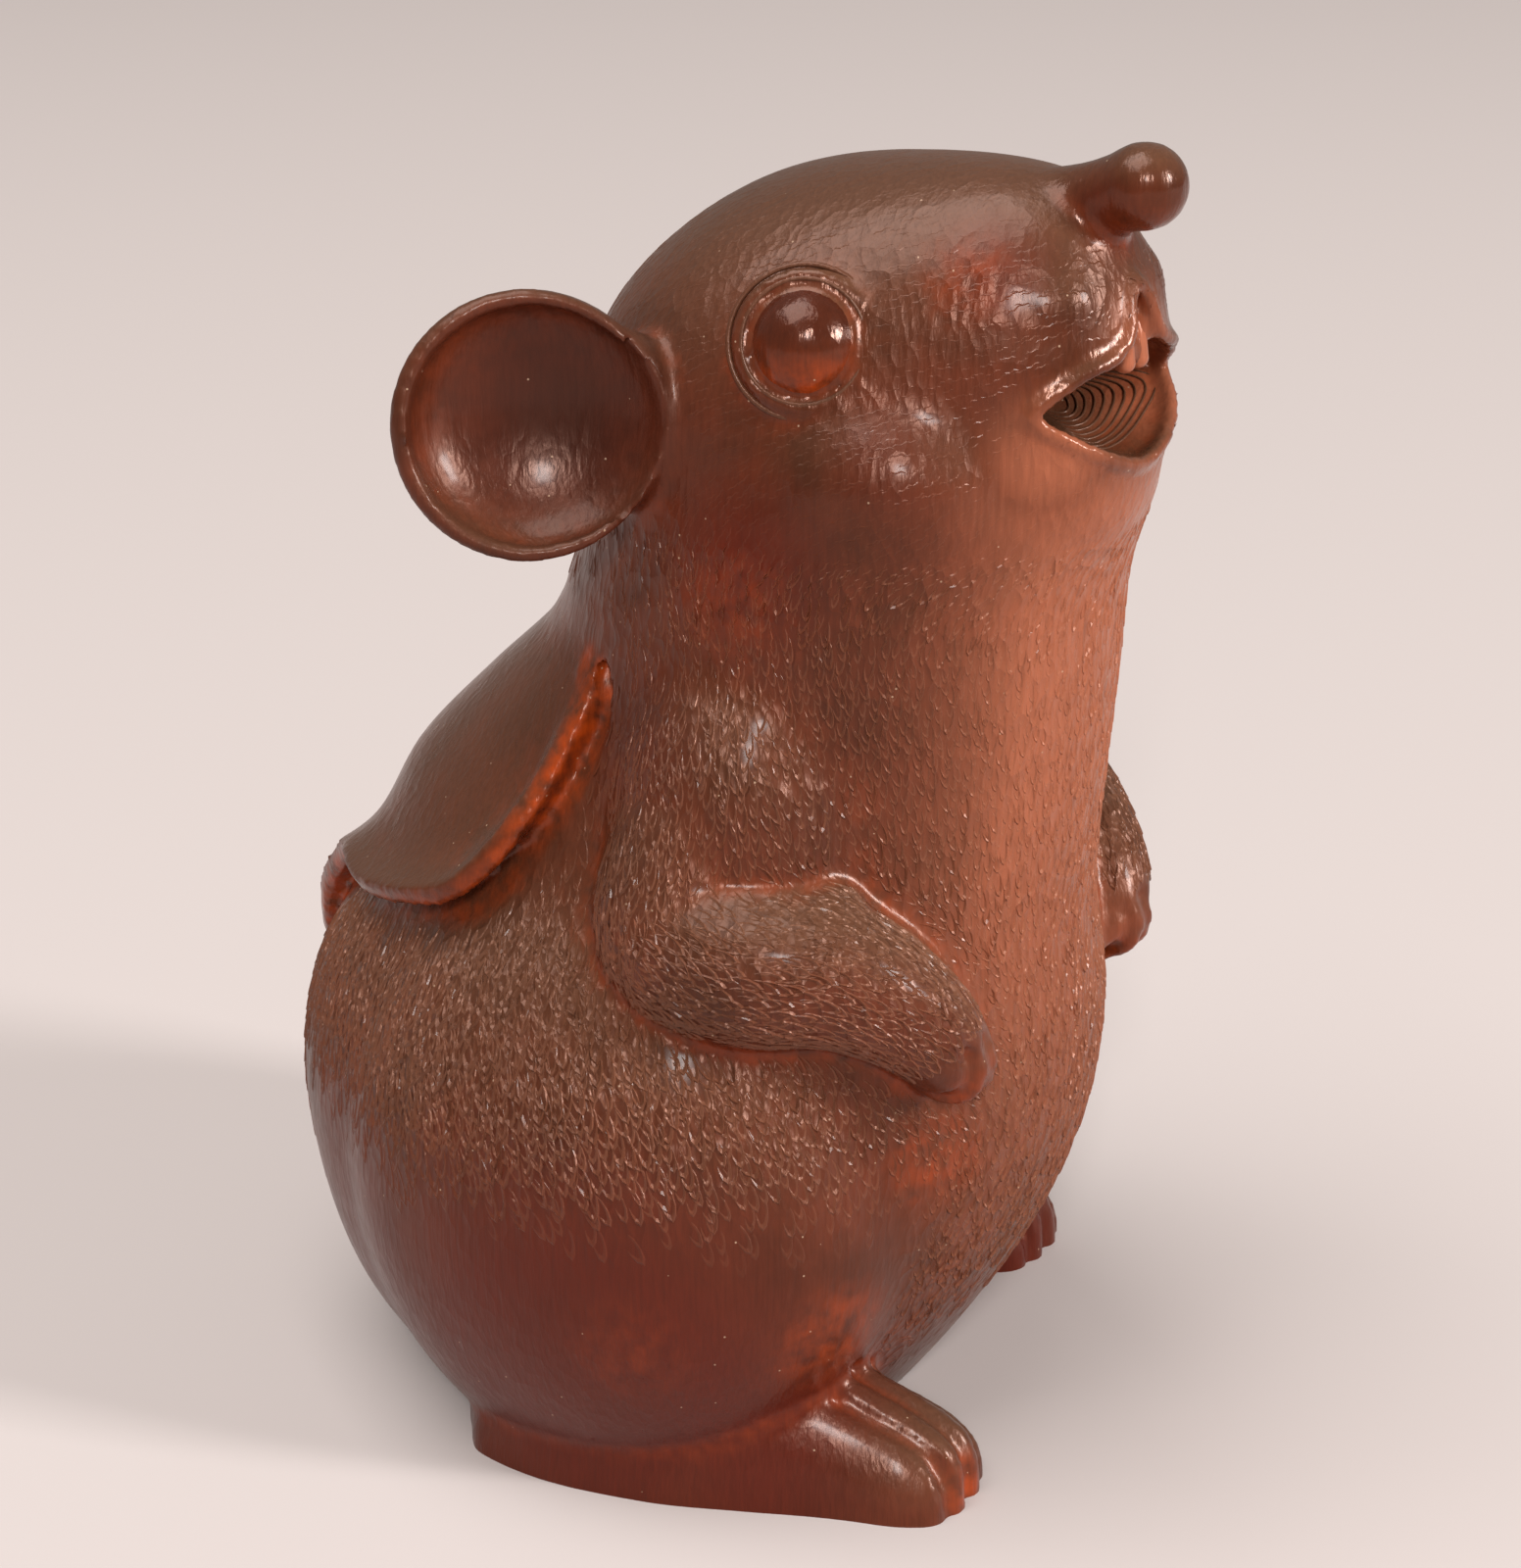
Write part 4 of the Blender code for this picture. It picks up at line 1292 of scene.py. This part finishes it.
class MouseColours(bpy.types.PropertyGroup):
    """Colours of the wood, of the light and shade painted on it, and of the stage, as sRGB hex."""
    stain: colour_setting("Stain", "Brown stain", "#5b2817")
    dark: colour_setting("Dark stain", "Where the stain pools", "#3a190b")
    # Deep red: partly the wood's own, partly painted shade
    deep_red_and_shade: colour_setting("Deep red and shade", "Red brown, partly painted shade", "#4c1308")
    # Pale: rubbed chest and lips, and painted light on surfaces that face the front
    pale: colour_setting("Pale stain", "Rubbed chest and lips, with painted front light", "#96543a")
    # Painted sheen on the tops, as if lit from above
    top_sheen: colour_setting("Top sheen", "Painted sheen on tops facing up", "#523525")
    glow: colour_setting("Glow", "Where the stain is thin", "#9c3a0e")
    shade: colour_setting("Shade", "Dishes of the ears and slits", "#34140b")
    # Painted highlight on the raised fur cuts
    ridge_highlight: colour_setting("Ridge highlight", "Edges between the cuts", "#95654d")
    sheen: colour_setting("Sheen", "Tint of light off the waxed surface", "#ffc8b2")
    speck: colour_setting("Speck", "Dust and pale pores", "#b89a80")
    floor: colour_setting("Floor", "Floor under the figurine", "#b9aeaa")
    room: colour_setting("Room", "Pale light from all around", "#dcd6d0")


class MOUSE_OT_carve(bpy.types.Operator):
    """Carves the mouse from clay masses and marks its skin"""
    bl_idname = "mouse.carve"
    bl_label = "Carve mouse"

    def execute(self, context):
        sizes = context.scene.mouse_sizes
        mouse = carved_mouse(sizes)
        mark_surface(mouse)
        mouse.data.materials.clear()
        mouse.data.materials.append(stained_boxwood(context.scene.mouse_colours))
        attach(mouse, "root")
        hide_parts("mouse")
        return {"FINISHED"}


class MOUSE_OT_fur(bpy.types.Operator):
    """Cuts the fur into the skin, tuft by tuft, on the head, the back and the front"""
    bl_idname = "mouse.fur"
    bl_label = "Cut fur"

    def execute(self, context):
        sizes = context.scene.mouse_sizes
        skin = bpy.data.objects["mouse_carving"]
        tree = fur_tree()
        for seed, (region, crest_line, spacing, length, width) in enumerate(FUR_REGIONS):
            cut = fur_cut(crest_line)
            host = add_piece("fur host", skin.data.copy())
            modifier = host.modifiers.new("fur", "NODES")
            modifier.node_group = tree
            set_inputs(modifier, {
                "Region": "fur_" + region, "Cut": cut, "Spacing": sizes.cut_spacing * spacing,
                "Length": sizes.cut_length * length, "Width": sizes.cut_width * width, "Rise": sizes.cut_rise,
                "Seed": seed, "Wood": skin.data.materials[0]})
            host.update_tag()
            fur = add_piece("fur_cuts_" + region, evaluated_mesh(host))
            bpy.data.objects.remove(host, do_unlink=True)
            bpy.data.objects.remove(cut, do_unlink=True)
            if not fur.data.polygons:
                raise RuntimeError("no fur cuts on the " + region)
            # Marks the fur cuts for the painted highlight on their ridges
            ridge_highlight = fur.data.attributes.new("ridge_highlight", "FLOAT", "POINT")
            ridge_highlight.data.foreach_set("value", np.ones(len(fur.data.vertices), np.float32))
            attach(fur, "root")
        return {"FINISHED"}


class MOUSE_OT_face(bpy.types.Operator):
    """Cuts the crisp parts of the face: eyes, edges of the lids, teeth and the scored tongue"""
    bl_idname = "mouse.face"
    bl_label = "Cut face"

    def execute(self, context):
        skin = bpy.data.objects["mouse_carving"]
        for name, pieces, marks in face_details():
            detail = join(name, turned_head(pieces))
            for side in detail.data.polygons:
                side.use_smooth = True
            detail.data.materials.clear()
            detail.data.materials.append(skin.data.materials[0])
            heights = numbers_of(detail.data.vertices, "co", 3)[:, 2] / UNIT
            for mark, value in marks.items():
                values = value(heights) if callable(value) else np.full(len(heights), value)
                layer = detail.data.attributes.new(mark, "FLOAT", "POINT")
                layer.data.foreach_set("value", values.astype(np.float32))
            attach(detail, "root")
        return {"FINISHED"}


class MOUSE_OT_stage(bpy.types.Operator):
    """Sets the pale floor, the soft lights and the camera"""
    bl_idname = "mouse.stage"
    bl_label = "Set stage"

    def execute(self, context):
        colours = context.scene.mouse_colours
        set_floor(colours)
        set_lights(context.scene, colours)
        set_camera(context.scene)
        return {"FINISHED"}


class MOUSE_PT_panel(bpy.types.Panel):
    """Lists the steps and sizes of the carving"""
    bl_label = "Boxwood mouse"
    bl_idname = "MOUSE_PT_panel"
    bl_space_type = "VIEW_3D"
    bl_region_type = "UI"
    bl_category = "Mouse"

    def draw(self, context):
        for group in (context.scene.mouse_sizes, context.scene.mouse_colours):
            for key in group.__annotations__:
                self.layout.prop(group, key)
        for step in STEPS:
            self.layout.operator(step.bl_idname)


# Regions of fur: name, shape of cut, spacing, length and width as shares of the flank's
FUR_REGIONS = (
    ("flanks", HOOK, 0.94, 0.86, 0.82),
    ("head", STROKE, 0.86, 0.7, 0.56),
    ("front", HOOK, 0.94, 0.8, 0.66),
)
STEPS = (MOUSE_OT_carve, MOUSE_OT_fur, MOUSE_OT_face, MOUSE_OT_stage)
CLASSES = (MousePreferences, MouseColours, *STEPS, MOUSE_PT_panel)


FLOOR_SIZE = 4.0
FLOOR_ROUGHNESS = 0.85


def set_floor(colours):
    shape = bmesh.new()
    bmesh.ops.create_grid(shape, x_segments=1, y_segments=1, size=FLOOR_SIZE)
    mesh = bpy.data.meshes.new("floor")
    shape.to_mesh(mesh)
    shape.free()
    floor = add_piece("floor", mesh)
    material = bpy.data.materials.new("matt_paper")
    material.use_nodes = True
    shader = material.node_tree.nodes["Principled BSDF"]
    shader.inputs["Base Color"].default_value = linear(colours.floor)
    shader.inputs["Roughness"].default_value = FLOOR_ROUGHNESS
    mesh.materials.append(material)


# Lights: the place they point at, the strength of the room's own light, and for each its name,
# place in metres, watts, width, height
LIGHT_TARGET = (0.0, 0.0, 0.05)
ROOM_STRENGTH = 0.38
LIGHTS = [
    ("overhead softbox", (-0.35, 0.30, 1.50), 24.0, 1.20, 1.20),
    ("front softbox", (0.15, -1.75, 0.80), 36.0, 0.28, 0.50),
    ("side softbox", (-1.60, -0.75, 1.10), 24.0, 0.26, 0.36),
]


def set_lights(scene, colours):
    target = Vector(LIGHT_TARGET)
    for name, place, watts, width, height in LIGHTS:
        lamp = bpy.data.lights.new(name, "AREA")
        lamp.shape = "RECTANGLE"
        lamp.size, lamp.size_y = width, height
        lamp.energy = watts
        light = bpy.data.objects.new(name, lamp)
        scene.collection.objects.link(light)
        light.location = place
        light.rotation_euler = (target - Vector(place)).to_track_quat("-Z", "Y").to_euler()
    world = bpy.data.worlds.new("pale room")
    world.use_nodes = True
    sky = world.node_tree.nodes["Background"]
    sky.inputs["Color"].default_value = linear(colours.room)
    sky.inputs["Strength"].default_value = ROOM_STRENGTH
    scene.world = world
    scene.view_settings.view_transform = "Standard"


# Camera: degrees round from the front and up, distance and aim in hundredths of the height
CAMERA_TURN = -63.0
CAMERA_RISE = 21.0
CAMERA_DISTANCE = 292.4
CAMERA_AIM = (-3.0, 0.0, 48.7)
CAMERA_LENS = 89.8


def set_camera(scene):
    turn, rise = math.radians(CAMERA_TURN), math.radians(CAMERA_RISE)
    back = Vector((math.sin(turn) * math.cos(rise), -math.cos(turn) * math.cos(rise), math.sin(rise)))
    lens = bpy.data.cameras.new("camera")
    lens.sensor_fit = "VERTICAL"
    lens.sensor_height = 36.0
    lens.lens = CAMERA_LENS
    lens.clip_start = 0.01
    camera = bpy.data.objects.new("camera", lens)
    scene.collection.objects.link(camera)
    camera.location = (Vector(CAMERA_AIM) + back * CAMERA_DISTANCE) * UNIT
    camera.rotation_euler = back.to_track_quat("Z", "Y").to_euler()
    scene.camera = camera


def register():
    for kind in CLASSES:
        bpy.utils.register_class(kind)
    bpy.types.Scene.mouse_sizes = bpy.props.PointerProperty(type=MousePreferences)
    bpy.types.Scene.mouse_colours = bpy.props.PointerProperty(type=MouseColours)


def unregister():
    del bpy.types.Scene.mouse_colours
    del bpy.types.Scene.mouse_sizes
    for kind in reversed(CLASSES):
        bpy.utils.unregister_class(kind)


def main():
    register()
    bpy.ops.mouse.carve()
    bpy.ops.mouse.fur()
    bpy.ops.mouse.face()
    bpy.ops.mouse.stage()


if __name__ == "__main__":
    main()
